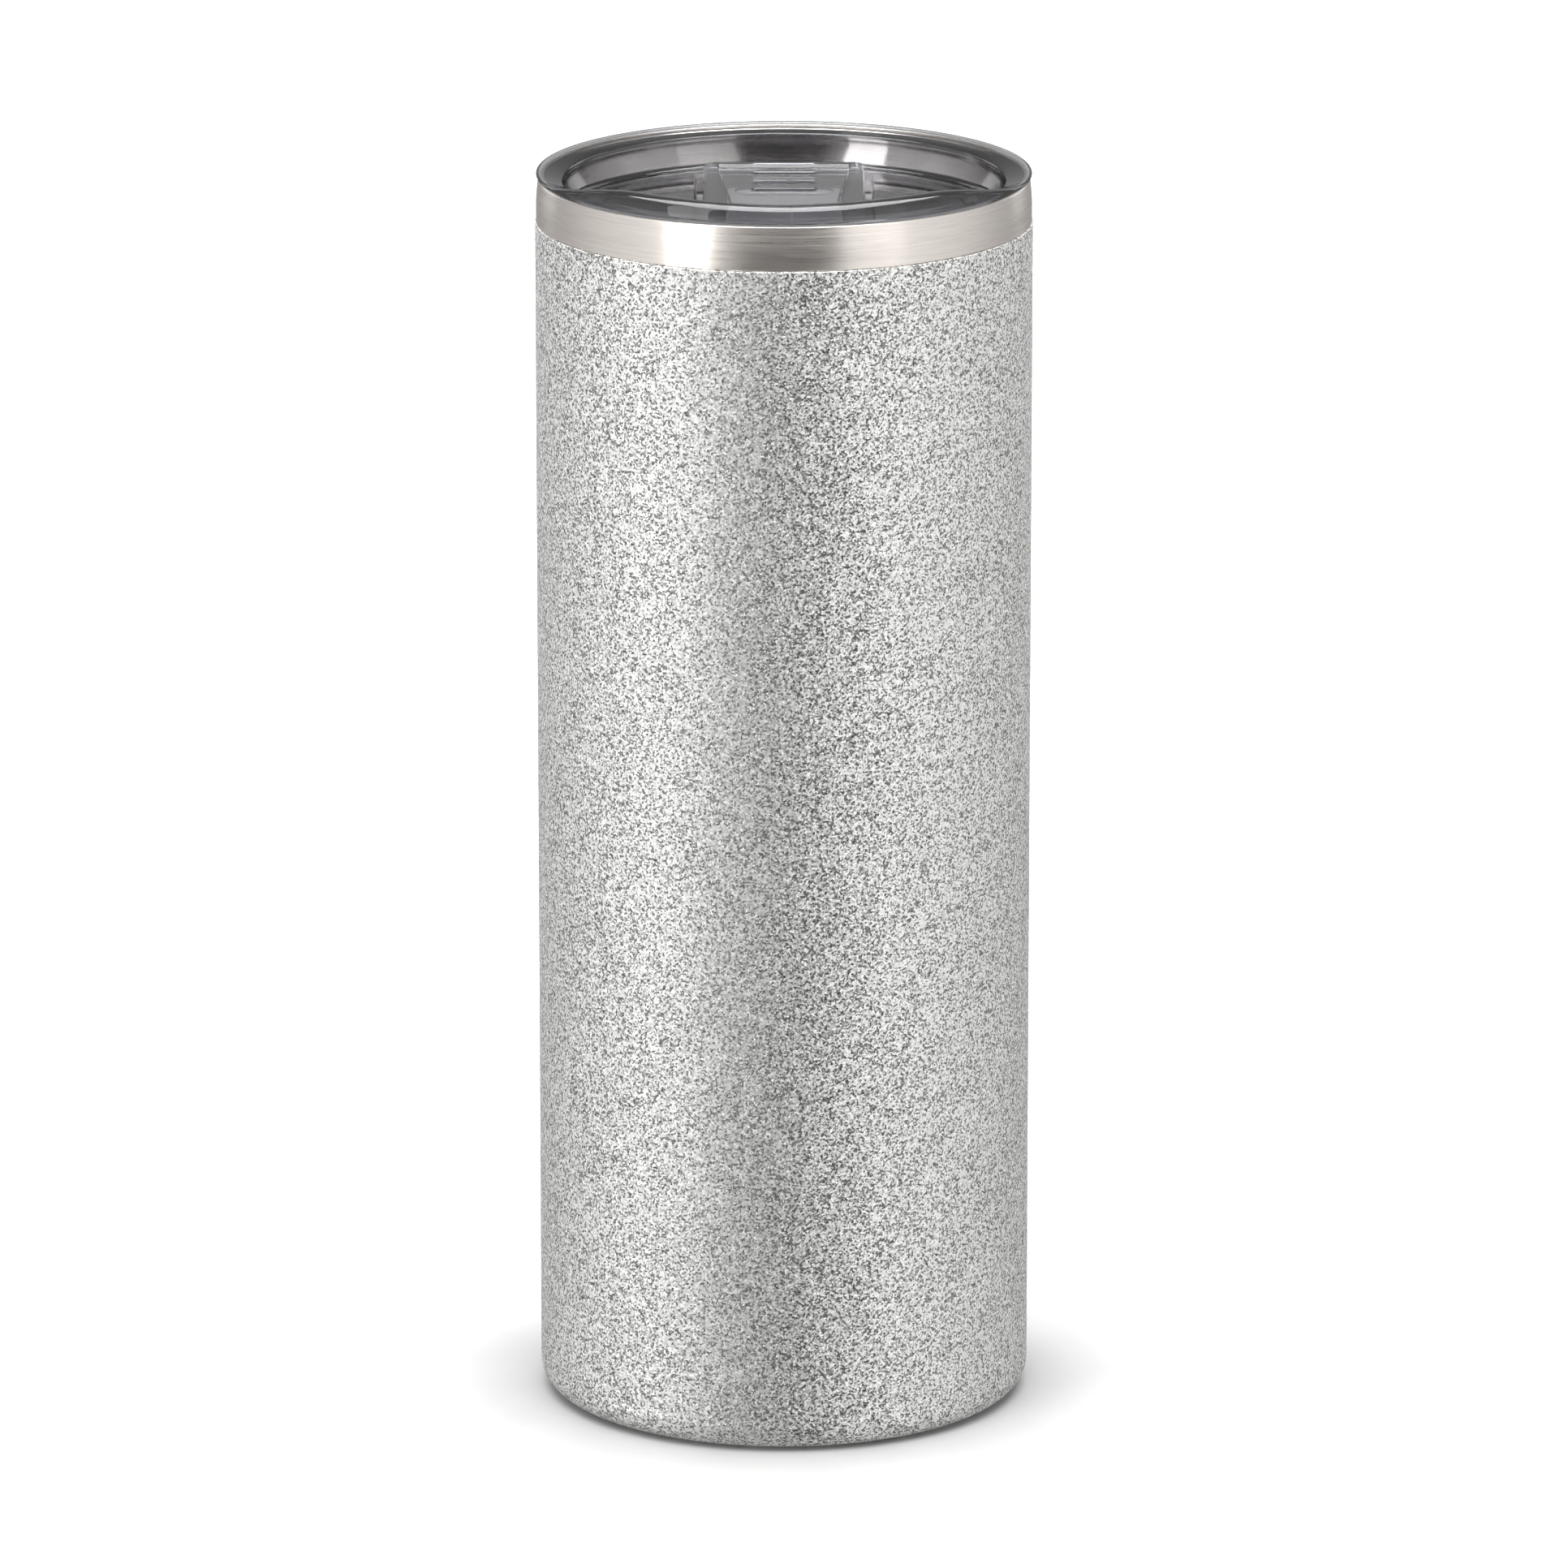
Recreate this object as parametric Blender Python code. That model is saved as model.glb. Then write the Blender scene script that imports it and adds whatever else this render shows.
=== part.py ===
"""Double-wall steel tumbler with a press-in sliding lid, metres, +Z up.

The origin is the centre of the foot. The drinking side faces -Y.
"""

import math

import bmesh
import bpy
from mathutils import Vector

MM = 0.001
GAP = 0.3 * MM                      # clearance between pieces that touch

# Driving dimensions of the cup
BODY_RADIUS = 36.75 * MM            # outside of the coating
RIM_TOP = 185.8 * MM
BASE_CORNER = 3.95 * MM             # outer corner radius at the foot
COAT_TOP = RIM_TOP - 6.4 * MM
COAT_WALL = 0.4 * MM
COAT_PROUD = 0.15 * MM              # coating over the bare steel band
COAT_EDGE_ANGLE = math.radians(-80)  # the coat stops just short of the foot's flat ring
SHELL_WALL = 0.5 * MM
SHELL_RIM_RADIUS = 36.2 * MM        # the band draws in a little at the rim
BAND_STRAIGHT_TOP = RIM_TOP - 3.9 * MM
BAND_DRAWN_TOP = RIM_TOP + 2.0 * MM  # the curve of the band would end above the rim
FOOT_INNER = 28.0 * MM
LINER_RADIUS = 33.6 * MM            # inside of the cup
LINER_WALL = 0.4 * MM
LINER_FLOOR = 5.7 * MM
LINER_CORNER = 7.0 * MM
MOUTH_RADIUS = 34.95 * MM           # inside of the flared mouth
FLARE_START = RIM_TOP - 9.4 * MM
MOUTH_EDGE = RIM_TOP - 0.8 * MM     # height of the inner edge of the rim

# Details of the steel wall, its foot and its rim
COAT_EDGE = 0.12 * MM               # bevel at the top of the coating
FOOT_LAND = 0.3 * MM                # flat foot ring past the centre of the corner
FOOT_CORNER_START = math.radians(-84)
BAND_STEP = 0.4 * MM                # the wall leaves the coating this far below its top
BAND_STEPS = 4
BAND_THICKER = 0.1 * MM             # extra wall behind the step to the band
BAND_JOG_TOP = 1.2 * MM
BAND_JOG_BOTTOM = 0.6 * MM
RIM_SHOULDER = 0.15 * MM
RIM_EDGE = 0.2 * MM                 # bevel of the rim
MOUTH_STEPS = 5
MOUTH_LIP_OUT = 0.2 * MM
MOUTH_LIP_UP = 0.25 * MM
MOUTH_THINNER = 0.02 * MM           # the flare is drawn a little thinner than the liner

# The pressed bottom, the vacuum seal, the getter and the cap
BOTTOM_RADIUS = 31.8 * MM
BOTTOM_WALL = 0.6 * MM
DIMPLE_DEPTH = 0.5 * MM
DIMPLE_EDGE = 5.0 * MM              # where the dimple meets the flat underside
DIMPLE_FLOOR = 4.2 * MM             # flat part of the dimple, underside
DIMPLE_TOP_EDGE = 4.6 * MM
DIMPLE_TOP_FLOOR = 3.9 * MM
PUMP_HOLE_RADIUS = 0.9 * MM
BEAD_RADIUS = 2.6 * MM
BEAD_FLAT_RADIUS = 2.2 * MM
BEAD_HEIGHT = 0.7 * MM
BEAD_SEGMENTS = 24
PILL_RADIUS = 4.0 * MM
PILL_TOP_RADIUS = 3.4 * MM
PILL_SIDE = 1.1 * MM
PILL_HEIGHT = 1.4 * MM
PILL_OFFSET = 12.0 * MM             # clear of the pump-out hole
PILL_SEGMENTS = 32
CAP_LOW = 0.3 * MM
CAP_HIGH = 0.85 * MM
CAP_EDGE = 0.25 * MM

# Driving dimensions of the lid
LID_RADIUS = 36.57 * MM
LID_EDGE = RIM_TOP + 0.9 * MM       # top of the outer edge, sides and rear
RECESS_RADIUS = 32.6 * MM
FLOOR_TOP = LID_EDGE - 6.0 * MM
FLOOR_WALL = 2.2 * MM
SKIRT_BOTTOM = FLOOR_TOP - 7.6 * MM
SKIRT_INNER = 30.6 * MM
SKIRT_OUTER = 32.9 * MM
GROOVE_RADIUS = 32.0 * MM
GROOVE_BOTTOM = SKIRT_BOTTOM + 1.2 * MM
GROOVE_TOP = SKIRT_BOTTOM + 4.2 * MM
SKIRT_LEDGE = 0.2 * MM              # ledge above the groove, which backs the gasket
SKIRT_FLARE_START = GROOVE_TOP + 1.2 * MM
SKIRT_STEPS = 4
FLARE_CLEARANCE = GAP + 0.03 * MM   # covers the flats of the flare as well
SEAT_RISE = 0.57 * MM               # where the ring leaves the mouth for the rim
SEAT_SLOPE = 0.65 * MM
SEAT_SLOPE_RISE = 0.25 * MM
SEAT_FLAT = 1.05 * MM               # where the ring rests along the rim
RECESS_FILLET = 0.9 * MM
FILLET_STEPS = 3
LIP_DIP = 0.35 * MM                 # the drinking lip is a little lower in its middle
LIP_DIP_ANGLE = math.radians(20)
LIP_FULL = math.radians(38)         # lip at full height up to this angle from the front
LIP_END = math.radians(80)
# Rim sections in mm, from the outer underside to the recess wall:
# inwards from LID_RADIUS, upwards from LID_EDGE
PLAIN_RIM = [
    (0.27, -0.53), (0.07, -0.39), (0.0, -0.2), (0.1, -0.05), (0.37, 0.0),
    (1.57, -0.39), (2.67, -0.78), (3.57, -1.1), (3.85, -1.28), (3.97, -1.65),
]
RAISED_RIM = [
    (0.27, -0.53), (0.09, 0.0), (0.12, 0.75), (0.3, 1.7), (0.69, 2.17),
    (1.37, 2.47), (2.27, 2.5), (3.27, 2.33), (3.62, 2.1), (3.82, 1.65),
]
DIP_STEPS = 4                       # section points over which the dip fades in
PAD_HEIGHT = 0.8 * MM               # raised guides beside the slider
PAD_RADIUS = 27.2 * MM
PAD_SIDE = 13.2 * MM
PAD_CORNER = 1.4 * MM
PAD_ROOT = 0.6 * MM                 # overlap of the guide with the floor
SLOT_INNER = 24.4 * MM              # drinking slot, an arc about the lid's axis
SLOT_OUTER = 29.8 * MM
SLOT_HALF_ANGLE = math.radians(16)
GUIDE_CLEARANCE = 0.4 * MM          # around the slider's stem
GUIDE_CORNER = 1.2 * MM

# Details of the gasket
GASKET_SKIN = 0.05 * MM             # its body stays this far inside the skirt
FIN_COUNT = 2
FIN_UNDER = 0.25 * MM
FIN_TIP_LOW = 0.55 * MM
FIN_TIP_HIGH = 0.8 * MM
FIN_ROOT = 0.75 * MM

# Driving dimensions of the slider
TRAVEL = 8.6 * MM
SLIDER_HALF_WIDTH = 11.9 * MM
SLIDER_REAR = 20.9 * MM
SLIDER_FRONT_RADIUS = 31.0 * MM     # its front end follows the recess
SLIDER_BOTTOM = FLOOR_TOP + 0.35 * MM
SLIDER_TOP = FLOOR_TOP + 3.0 * MM
SLIDER_CORNER = 1.6 * MM
FRONT_CORNER_INSET = 0.6 * MM       # chamfer between the curved front and the sides
FRONT_CORNER_LENGTH = 1.0 * MM
TRAY_DEPTH = 0.45 * MM
TRAY_REAR = 18.9 * MM
TRAY_FRONT = -10.0 * MM
TRAY_REAR_HALF = 10.1 * MM
TRAY_FRONT_HALF = 7.9 * MM
RIDGE_PITCH = 6.0 * MM
RIDGE_FIRST = 2.6 * MM
RIDGE_COUNT = 3
RIDGE_LENGTH = 9.8 * MM
RIDGE_WIDTH = 1.5 * MM
RIDGE_ROOT = 0.3 * MM
RIDGE_DROP = 0.05 * MM              # ridge tops lie just under the slider's top
STEM_HALF_WIDTH = 1.5 * MM
STEM_FRONT = -14.0 * MM
STEM_REAR = -8.0 * MM
STEM_CORNER = 0.8 * MM
STEM_FOOT = 0.2 * MM                # overlap of the stem with its head
STEM_ROOT = 0.4 * MM                # overlap of the stem with the slider
HEAD_GROW = 1.0 * MM
HEAD_HEIGHT = 0.8 * MM
HEAD_CORNER = 1.2 * MM
RETAINER_HALF_WIDTH = 5.5 * MM
RETAINER_REACH = 4.0 * MM           # past the stem, front and rear
RETAINER_WALL = 1.2 * MM
RETAINER_CORNER = 2.0 * MM
RETAINER_HOLE_CORNER = 1.0 * MM
SEAL_HALF_WIDTH = 8.4 * MM
SEAL_REAR = 6.4 * MM
SEAL_SHEET = 0.9 * MM
SEAL_INSET = 0.9 * MM               # behind the slider's front end
SEAL_WINDOW_GAP = 0.5 * MM
SEAL_WINDOW_CORNER = 1.2 * MM
BOSS_COVER = 0.6 * MM               # tray floor left above the boss
BOSS_ROOT = 0.4 * MM
BOSS_CENTRE = 3.2 * MM
BOSS_LENGTH = 14.0 * MM
BOSS_WIDTH = 3.8 * MM

SEGMENTS = 60                       # flats around a full turn
FINE_SEGMENTS = 72                  # around the lid, whose rim changes with the angle
CORNER_STEPS = 5


def clear_scene():
    for item in list(bpy.data.objects):
        bpy.data.objects.remove(item)


def material(name, colour, metallic, roughness, transmission=0.0):
    made = bpy.data.materials.new(name)
    made.use_nodes = True
    shader = made.node_tree.nodes["Principled BSDF"]
    shader.inputs["Base Color"].default_value = (*colour, 1.0)
    shader.inputs["Metallic"].default_value = metallic
    shader.inputs["Roughness"].default_value = roughness
    shader.inputs["Transmission Weight"].default_value = transmission
    made.diffuse_color = (*colour, 1.0)
    return made


def make_materials():
    return {
        "steel": material("brushed_steel", (0.62, 0.60, 0.57), 1.0, 0.32),
        "liner": material("liner_steel", (0.58, 0.57, 0.56), 1.0, 0.38),
        "glitter": material("silver_glitter", (0.60, 0.59, 0.57), 0.7, 0.45),
        "smoke": material("smoke_plastic", (0.30, 0.30, 0.31), 0.0, 0.06, 0.9),
        "slider": material("smoke_slider_plastic", (0.36, 0.36, 0.37), 0.0, 0.08, 0.9),
        "silicone": material("clear_silicone", (0.72, 0.72, 0.70), 0.0, 0.45, 0.3),
        "getter": material("getter_alloy", (0.28, 0.27, 0.26), 0.8, 0.6),
        "solder": material("seal_glass", (0.18, 0.18, 0.17), 0.1, 0.3),
    }


def smoothstep(value, low, high):
    share = min(max((value - low) / (high - low), 0.0), 1.0)
    return share * share * (3.0 - 2.0 * share)


def finish_object(name, bm, finish, sharp_degrees=32):
    bmesh.ops.remove_doubles(bm, verts=bm.verts, dist=1e-7)
    bmesh.ops.recalc_face_normals(bm, faces=bm.faces)
    mesh = bpy.data.meshes.new(name)
    bm.to_mesh(mesh)
    bm.free()
    mesh.shade_smooth()
    mesh.set_sharp_from_angle(angle=math.radians(sharp_degrees))
    made = bpy.data.objects.new(name, mesh)
    bpy.context.scene.collection.objects.link(made)
    if finish is not None:
        mesh.materials.append(finish)
    return made


def turned(name, outline, finish, segments=SEGMENTS):
    """A turned piece: outline is a closed loop of (radius, height) or a function of the angle."""
    bm = bmesh.new()
    rings = []
    axis_points = {}
    for step in range(segments):
        angle = 2.0 * math.pi * step / segments
        points = outline(angle) if callable(outline) else outline
        ring = []
        for index, (radius, height) in enumerate(points):
            if radius < 1e-7:
                if index not in axis_points:
                    axis_points[index] = bm.verts.new((0.0, 0.0, height))
                ring.append(axis_points[index])
            else:
                place = (radius * math.sin(angle), -radius * math.cos(angle), height)
                ring.append(bm.verts.new(place))
        rings.append(ring)
    for step, ring in enumerate(rings):
        following = rings[(step + 1) % segments]
        for index, vert in enumerate(ring):
            after = (index + 1) % len(ring)
            corners = [vert, following[index], following[after], ring[after]]
            corners = list(dict.fromkeys(corners))
            if len(corners) > 2:
                bm.faces.new(corners)
    return finish_object(name, bm, finish)


def extruded(name, outline, bottom, top, finish=None):
    """A plate with the given (x, y) outline between two heights."""
    bm = bmesh.new()
    face = bm.faces.new([bm.verts.new((x, y, bottom)) for x, y in outline])
    grown = bmesh.ops.extrude_face_region(bm, geom=[face])
    raised = [item for item in grown["geom"] if isinstance(item, bmesh.types.BMVert)]
    bmesh.ops.translate(bm, verts=raised, vec=Vector((0.0, 0.0, top - bottom)))
    return finish_object(name, bm, finish)


def arc(centre, radius, start, end, steps):
    return [
        (
            centre[0] + radius * math.cos(start + (end - start) * step / steps),
            centre[1] + radius * math.sin(start + (end - start) * step / steps),
        )
        for step in range(steps + 1)
    ]


def rounded_rectangle(half_width, front, rear, corner, steps=4):
    points = []
    quarter = math.pi / 2.0
    inner = half_width - corner
    rear_centre = rear - corner
    front_centre = front + corner
    centres = [(inner, rear_centre), (-inner, rear_centre), (-inner, front_centre), (inner, front_centre)]
    for turn, centre in enumerate(centres):
        points += arc(centre, corner, turn * quarter, (turn + 1) * quarter, steps)
    return points


def stadium(centre_y, length, width, steps=8):
    radius = width / 2.0
    reach = length / 2.0 - radius
    right = arc((reach, centre_y), radius, -math.pi / 2.0, math.pi / 2.0, steps)
    left = arc((-reach, centre_y), radius, math.pi / 2.0, 1.5 * math.pi, steps)
    return right + left


def boolean(target, cutter, operation="DIFFERENCE"):
    cutter.hide_render = True
    cutter.display_type = "WIRE"
    step = target.modifiers.new(operation.lower() + "_" + cutter.name, "BOOLEAN")
    step.operation = operation
    step.solver = "EXACT"
    step.object = cutter


def liner_inside(height):
    """Inner radius of the cup at a height, flaring towards the mouth."""
    return LINER_RADIUS + (MOUTH_RADIUS - LINER_RADIUS) * smoothstep(height, FLARE_START, MOUTH_EDGE)


def band_radius(height):
    """Outer radius of the bare steel band."""
    straight = BODY_RADIUS - COAT_PROUD
    share = smoothstep(height, BAND_STRAIGHT_TOP, BAND_DRAWN_TOP)
    return straight - (straight - SHELL_RIM_RADIUS) * share


def make_coat(finishes):
    centre = (BODY_RADIUS - BASE_CORNER, BASE_CORNER)
    outer = arc(centre, BASE_CORNER, COAT_EDGE_ANGLE, 0.0, CORNER_STEPS)
    inner = arc(centre, BASE_CORNER - COAT_WALL, 0.0, COAT_EDGE_ANGLE, CORNER_STEPS)
    top = [
        (BODY_RADIUS, COAT_TOP - COAT_EDGE),
        (BODY_RADIUS - COAT_EDGE, COAT_TOP),
        (BODY_RADIUS - COAT_WALL, COAT_TOP),
    ]
    return turned("glitter_coat", outer + top + inner, finishes["glitter"])


def make_shell(finishes):
    under_coat = BODY_RADIUS - COAT_WALL - GAP
    centre = (BODY_RADIUS - BASE_CORNER, BASE_CORNER)
    foot_edge = centre[0] + FOOT_LAND
    corner_radius = BASE_CORNER - COAT_WALL - GAP
    outline = [(FOOT_INNER, 0.0), (foot_edge, 0.0)]
    outline += arc(centre, corner_radius, FOOT_CORNER_START, 0.0, CORNER_STEPS)
    outline.append((under_coat, COAT_TOP - BAND_STEP))
    band_bottom = COAT_TOP + GAP
    outline.append((under_coat, band_bottom))
    rise = RIM_TOP - RIM_SHOULDER - band_bottom
    heights = [band_bottom + rise * step / BAND_STEPS for step in range(BAND_STEPS + 1)]
    outline += [(band_radius(height), height) for height in heights]
    rim = band_radius(RIM_TOP)
    outline.append((rim - RIM_EDGE, RIM_TOP))
    outline.append((rim - SHELL_WALL, RIM_TOP - RIM_EDGE))
    band_inside = band_radius(band_bottom) - SHELL_WALL - BAND_THICKER
    outline.append((band_inside, band_bottom + BAND_JOG_TOP))
    outline.append((under_coat - SHELL_WALL, band_bottom - BAND_JOG_BOTTOM))
    inner_corner = corner_radius - SHELL_WALL
    outline += arc(centre, inner_corner, 0.0, -math.pi / 2.0, CORNER_STEPS)
    outline.append((FOOT_INNER, COAT_WALL + GAP + SHELL_WALL))
    return turned("outer_shell", outline, finishes["steel"])


def make_liner(finishes):
    inner_centre = (LINER_RADIUS - LINER_CORNER, LINER_FLOOR + LINER_CORNER)
    inside = [(0.0, LINER_FLOOR)]
    inside += arc(inner_centre, LINER_CORNER, -math.pi / 2.0, 0.0, CORNER_STEPS)
    rise = MOUTH_EDGE - FLARE_START
    heights = [FLARE_START + rise * step / MOUTH_STEPS for step in range(MOUTH_STEPS + 1)]
    inside += [(liner_inside(height), height) for height in heights]
    lip = [(MOUTH_RADIUS + MOUTH_LIP_OUT, MOUTH_EDGE + MOUTH_LIP_UP)]
    wall = LINER_WALL - MOUTH_THINNER
    outside = [(liner_inside(height) + wall, height) for height in reversed(heights)]
    outside += arc(inner_centre, LINER_CORNER + LINER_WALL, 0.0, -math.pi / 2.0, CORNER_STEPS)
    outside.append((0.0, LINER_FLOOR - LINER_WALL))
    return turned("inner_liner", inside + lip + outside, finishes["liner"])


def make_base(finishes):
    """The pressed outer bottom, its getter and seal, and the cap over them."""
    flange_top = COAT_WALL + GAP + SHELL_WALL
    low = flange_top + GAP
    floor = low + DIMPLE_DEPTH
    outline = [
        (PUMP_HOLE_RADIUS, floor), (DIMPLE_FLOOR, floor), (DIMPLE_EDGE, low), (BOTTOM_RADIUS, low),
        (BOTTOM_RADIUS, low + BOTTOM_WALL), (DIMPLE_TOP_EDGE, low + BOTTOM_WALL),
        (DIMPLE_TOP_FLOOR, floor + BOTTOM_WALL), (PUMP_HOLE_RADIUS, floor + BOTTOM_WALL),
    ]
    turned("outer_base", outline, finishes["steel"])

    bead_top = floor - GAP
    bead_low = bead_top - BEAD_HEIGHT
    bead = [(0.0, bead_low), (BEAD_FLAT_RADIUS, bead_low), (BEAD_RADIUS, bead_low + BEAD_HEIGHT / 2.0),
            (BEAD_FLAT_RADIUS, bead_top), (0.0, bead_top)]
    turned("vacuum_seal", bead, finishes["solder"], segments=BEAD_SEGMENTS)

    pill_low = low + BOTTOM_WALL + GAP
    pill_top = pill_low + PILL_HEIGHT
    pill = [(0.0, pill_low), (PILL_RADIUS, pill_low), (PILL_RADIUS, pill_low + PILL_SIDE),
            (PILL_TOP_RADIUS, pill_top), (0.0, pill_top)]
    getter = turned("getter", pill, finishes["getter"], segments=PILL_SEGMENTS)
    getter.location = (PILL_OFFSET, 0.0, 0.0)

    cap_radius = FOOT_INNER - GAP
    cap = [(0.0, CAP_LOW), (cap_radius - CAP_EDGE, CAP_LOW), (cap_radius, CAP_LOW + CAP_EDGE),
           (cap_radius, CAP_HIGH), (0.0, CAP_HIGH)]
    turned("base_cap", cap, finishes["steel"])


def lip_rise(angle):
    """Share of the drinking lip at an angle from the front, and how far its middle dips."""
    from_front = min(angle, 2.0 * math.pi - angle)
    share = 1.0 - smoothstep(from_front, LIP_FULL, LIP_END)
    dip = LIP_DIP * math.exp(-((from_front / LIP_DIP_ANGLE) ** 2))
    return share, dip


def lid_rim(angle):
    """Upper rim of the lid from its outer underside to the recess wall."""
    share, dip = lip_rise(angle)
    points = []
    for index, (low, high) in enumerate(zip(PLAIN_RIM, RAISED_RIM)):
        radius = low[0] + (high[0] - low[0]) * share
        height = low[1] + (high[1] - low[1]) * share
        sunk = dip * min(index / DIP_STEPS, 1.0)
        points.append((LID_RADIUS - radius * MM, LID_EDGE + height * MM - sunk))
    return points


def lid_outline(angle):
    outline = [
        (SKIRT_INNER, SKIRT_BOTTOM), (SKIRT_OUTER, SKIRT_BOTTOM), (SKIRT_OUTER, GROOVE_BOTTOM),
        (GROOVE_RADIUS, GROOVE_BOTTOM), (GROOVE_RADIUS, GROOVE_TOP), (SKIRT_OUTER + SKIRT_LEDGE, GROOVE_TOP),
    ]
    rise = MOUTH_EDGE - SKIRT_FLARE_START
    for step in range(SKIRT_STEPS + 1):
        height = SKIRT_FLARE_START + rise * step / SKIRT_STEPS
        outline.append((liner_inside(height) - FLARE_CLEARANCE, height))
    outline.append((MOUTH_RADIUS, MOUTH_EDGE + SEAT_RISE))
    outline.append((MOUTH_RADIUS + SEAT_SLOPE, RIM_TOP + SEAT_SLOPE_RISE))
    outline.append((MOUTH_RADIUS + SEAT_FLAT, RIM_TOP + GAP))
    outline += lid_rim(angle)
    centre = (RECESS_RADIUS - RECESS_FILLET, FLOOR_TOP + RECESS_FILLET)
    outline += arc(centre, RECESS_FILLET, 0.0, -math.pi / 2.0, FILLET_STEPS)
    outline.append((0.0, FLOOR_TOP))
    under = FLOOR_TOP - FLOOR_WALL
    outline += [(0.0, under), (SKIRT_INNER, under)]
    return outline


def pad_outline(side):
    """A raised guide: a straight side along the slider and an arc about the lid's axis."""
    inset = PAD_RADIUS - PAD_CORNER
    centre_x = PAD_SIDE + PAD_CORNER
    centre_y = math.sqrt(inset * inset - centre_x * centre_x)
    turn = math.atan2(centre_y, centre_x)
    points = arc((0.0, 0.0), PAD_RADIUS, -turn, turn, 14)[1:-1]
    points += arc((centre_x, centre_y), PAD_CORNER, turn, math.pi, 4)
    points += arc((centre_x, -centre_y), PAD_CORNER, -math.pi, -turn, 4)
    if side > 0:
        return points
    return [(-x, y) for x, y in reversed(points)]


def drinking_slot_outline():
    middle = (SLOT_INNER + SLOT_OUTER) / 2.0
    end_radius = (SLOT_OUTER - SLOT_INNER) / 2.0
    front = -math.pi / 2.0
    points = arc((0.0, 0.0), SLOT_OUTER, front - SLOT_HALF_ANGLE, front + SLOT_HALF_ANGLE, 8)
    for side in (1, -1):
        turn = front + side * SLOT_HALF_ANGLE
        centre = (middle * math.cos(turn), middle * math.sin(turn))
        end = arc(centre, end_radius, turn, turn + side * math.pi, 6)[1:-1]
        if side > 0:
            points += end
            points += arc((0.0, 0.0), SLOT_INNER, turn, front - SLOT_HALF_ANGLE, 8)
        else:
            points += list(reversed(end))
    return points


def make_lid(finishes):
    lid = turned("lid_body", lid_outline, finishes["smoke"], segments=FINE_SEGMENTS)
    for side, label in ((1, "right"), (-1, "left")):
        pad = extruded("pad_" + label, pad_outline(side), FLOOR_TOP - PAD_ROOT, FLOOR_TOP + PAD_HEIGHT)
        boolean(lid, pad, "UNION")
    under = FLOOR_TOP - FLOOR_WALL
    slot = extruded("drinking_slot", drinking_slot_outline(), under - MM, FLOOR_TOP + MM)
    boolean(lid, slot)
    guide_rear = STEM_REAR + TRAVEL + GUIDE_CLEARANCE
    guide = rounded_rectangle(STEM_HALF_WIDTH + GUIDE_CLEARANCE, STEM_FRONT - GUIDE_CLEARANCE,
                              guide_rear, GUIDE_CORNER)
    boolean(lid, extruded("guide_slot", guide, under - MM, FLOOR_TOP + MM))
    return lid


def make_gasket(finishes):
    root = GROOVE_RADIUS + GAP
    skin = SKIRT_OUTER - GASKET_SKIN
    fin = LINER_RADIUS - GAP
    low = GROOVE_BOTTOM + GAP
    high = GROOVE_TOP - GAP
    outline = [(root, low), (skin, low)]
    pitch = (high - low) / FIN_COUNT
    for step in range(FIN_COUNT):
        foot = low + step * pitch
        outline += [(skin, foot + FIN_UNDER), (fin, foot + FIN_TIP_LOW), (fin, foot + FIN_TIP_HIGH)]
        outline.append((skin, foot + FIN_ROOT))
    outline += [(skin, high), (root, high)]
    return turned("lid_gasket", outline, finishes["silicone"])


def slider_outline():
    """Straight sides, rounded rear corners and a front end that follows the recess."""
    reach = math.asin((SLIDER_HALF_WIDTH - FRONT_CORNER_INSET) / SLIDER_FRONT_RADIUS)
    front = -math.pi / 2.0
    points = arc((0.0, 0.0), SLIDER_FRONT_RADIUS, front - reach, front + reach, 12)
    side_y = points[-1][1] + FRONT_CORNER_LENGTH
    points.append((SLIDER_HALF_WIDTH, side_y))
    inner = SLIDER_HALF_WIDTH - SLIDER_CORNER
    rear = SLIDER_REAR - SLIDER_CORNER
    points += arc((inner, rear), SLIDER_CORNER, 0.0, math.pi / 2.0, 5)
    points += arc((-inner, rear), SLIDER_CORNER, math.pi / 2.0, math.pi, 5)
    points.append((-SLIDER_HALF_WIDTH, side_y))
    return points


def seal_outline(grow):
    """The sheet seal under the slider, rounded at its front to cover the drinking slot."""
    half = SEAL_HALF_WIDTH + grow
    radius = SLIDER_FRONT_RADIUS - SEAL_INSET + grow
    reach = math.asin(half / radius)
    front = -math.pi / 2.0
    points = arc((0.0, 0.0), radius, front - reach, front + reach, 10)
    points += [(half, SEAL_REAR + grow), (-half, SEAL_REAR + grow)]
    return points


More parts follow.
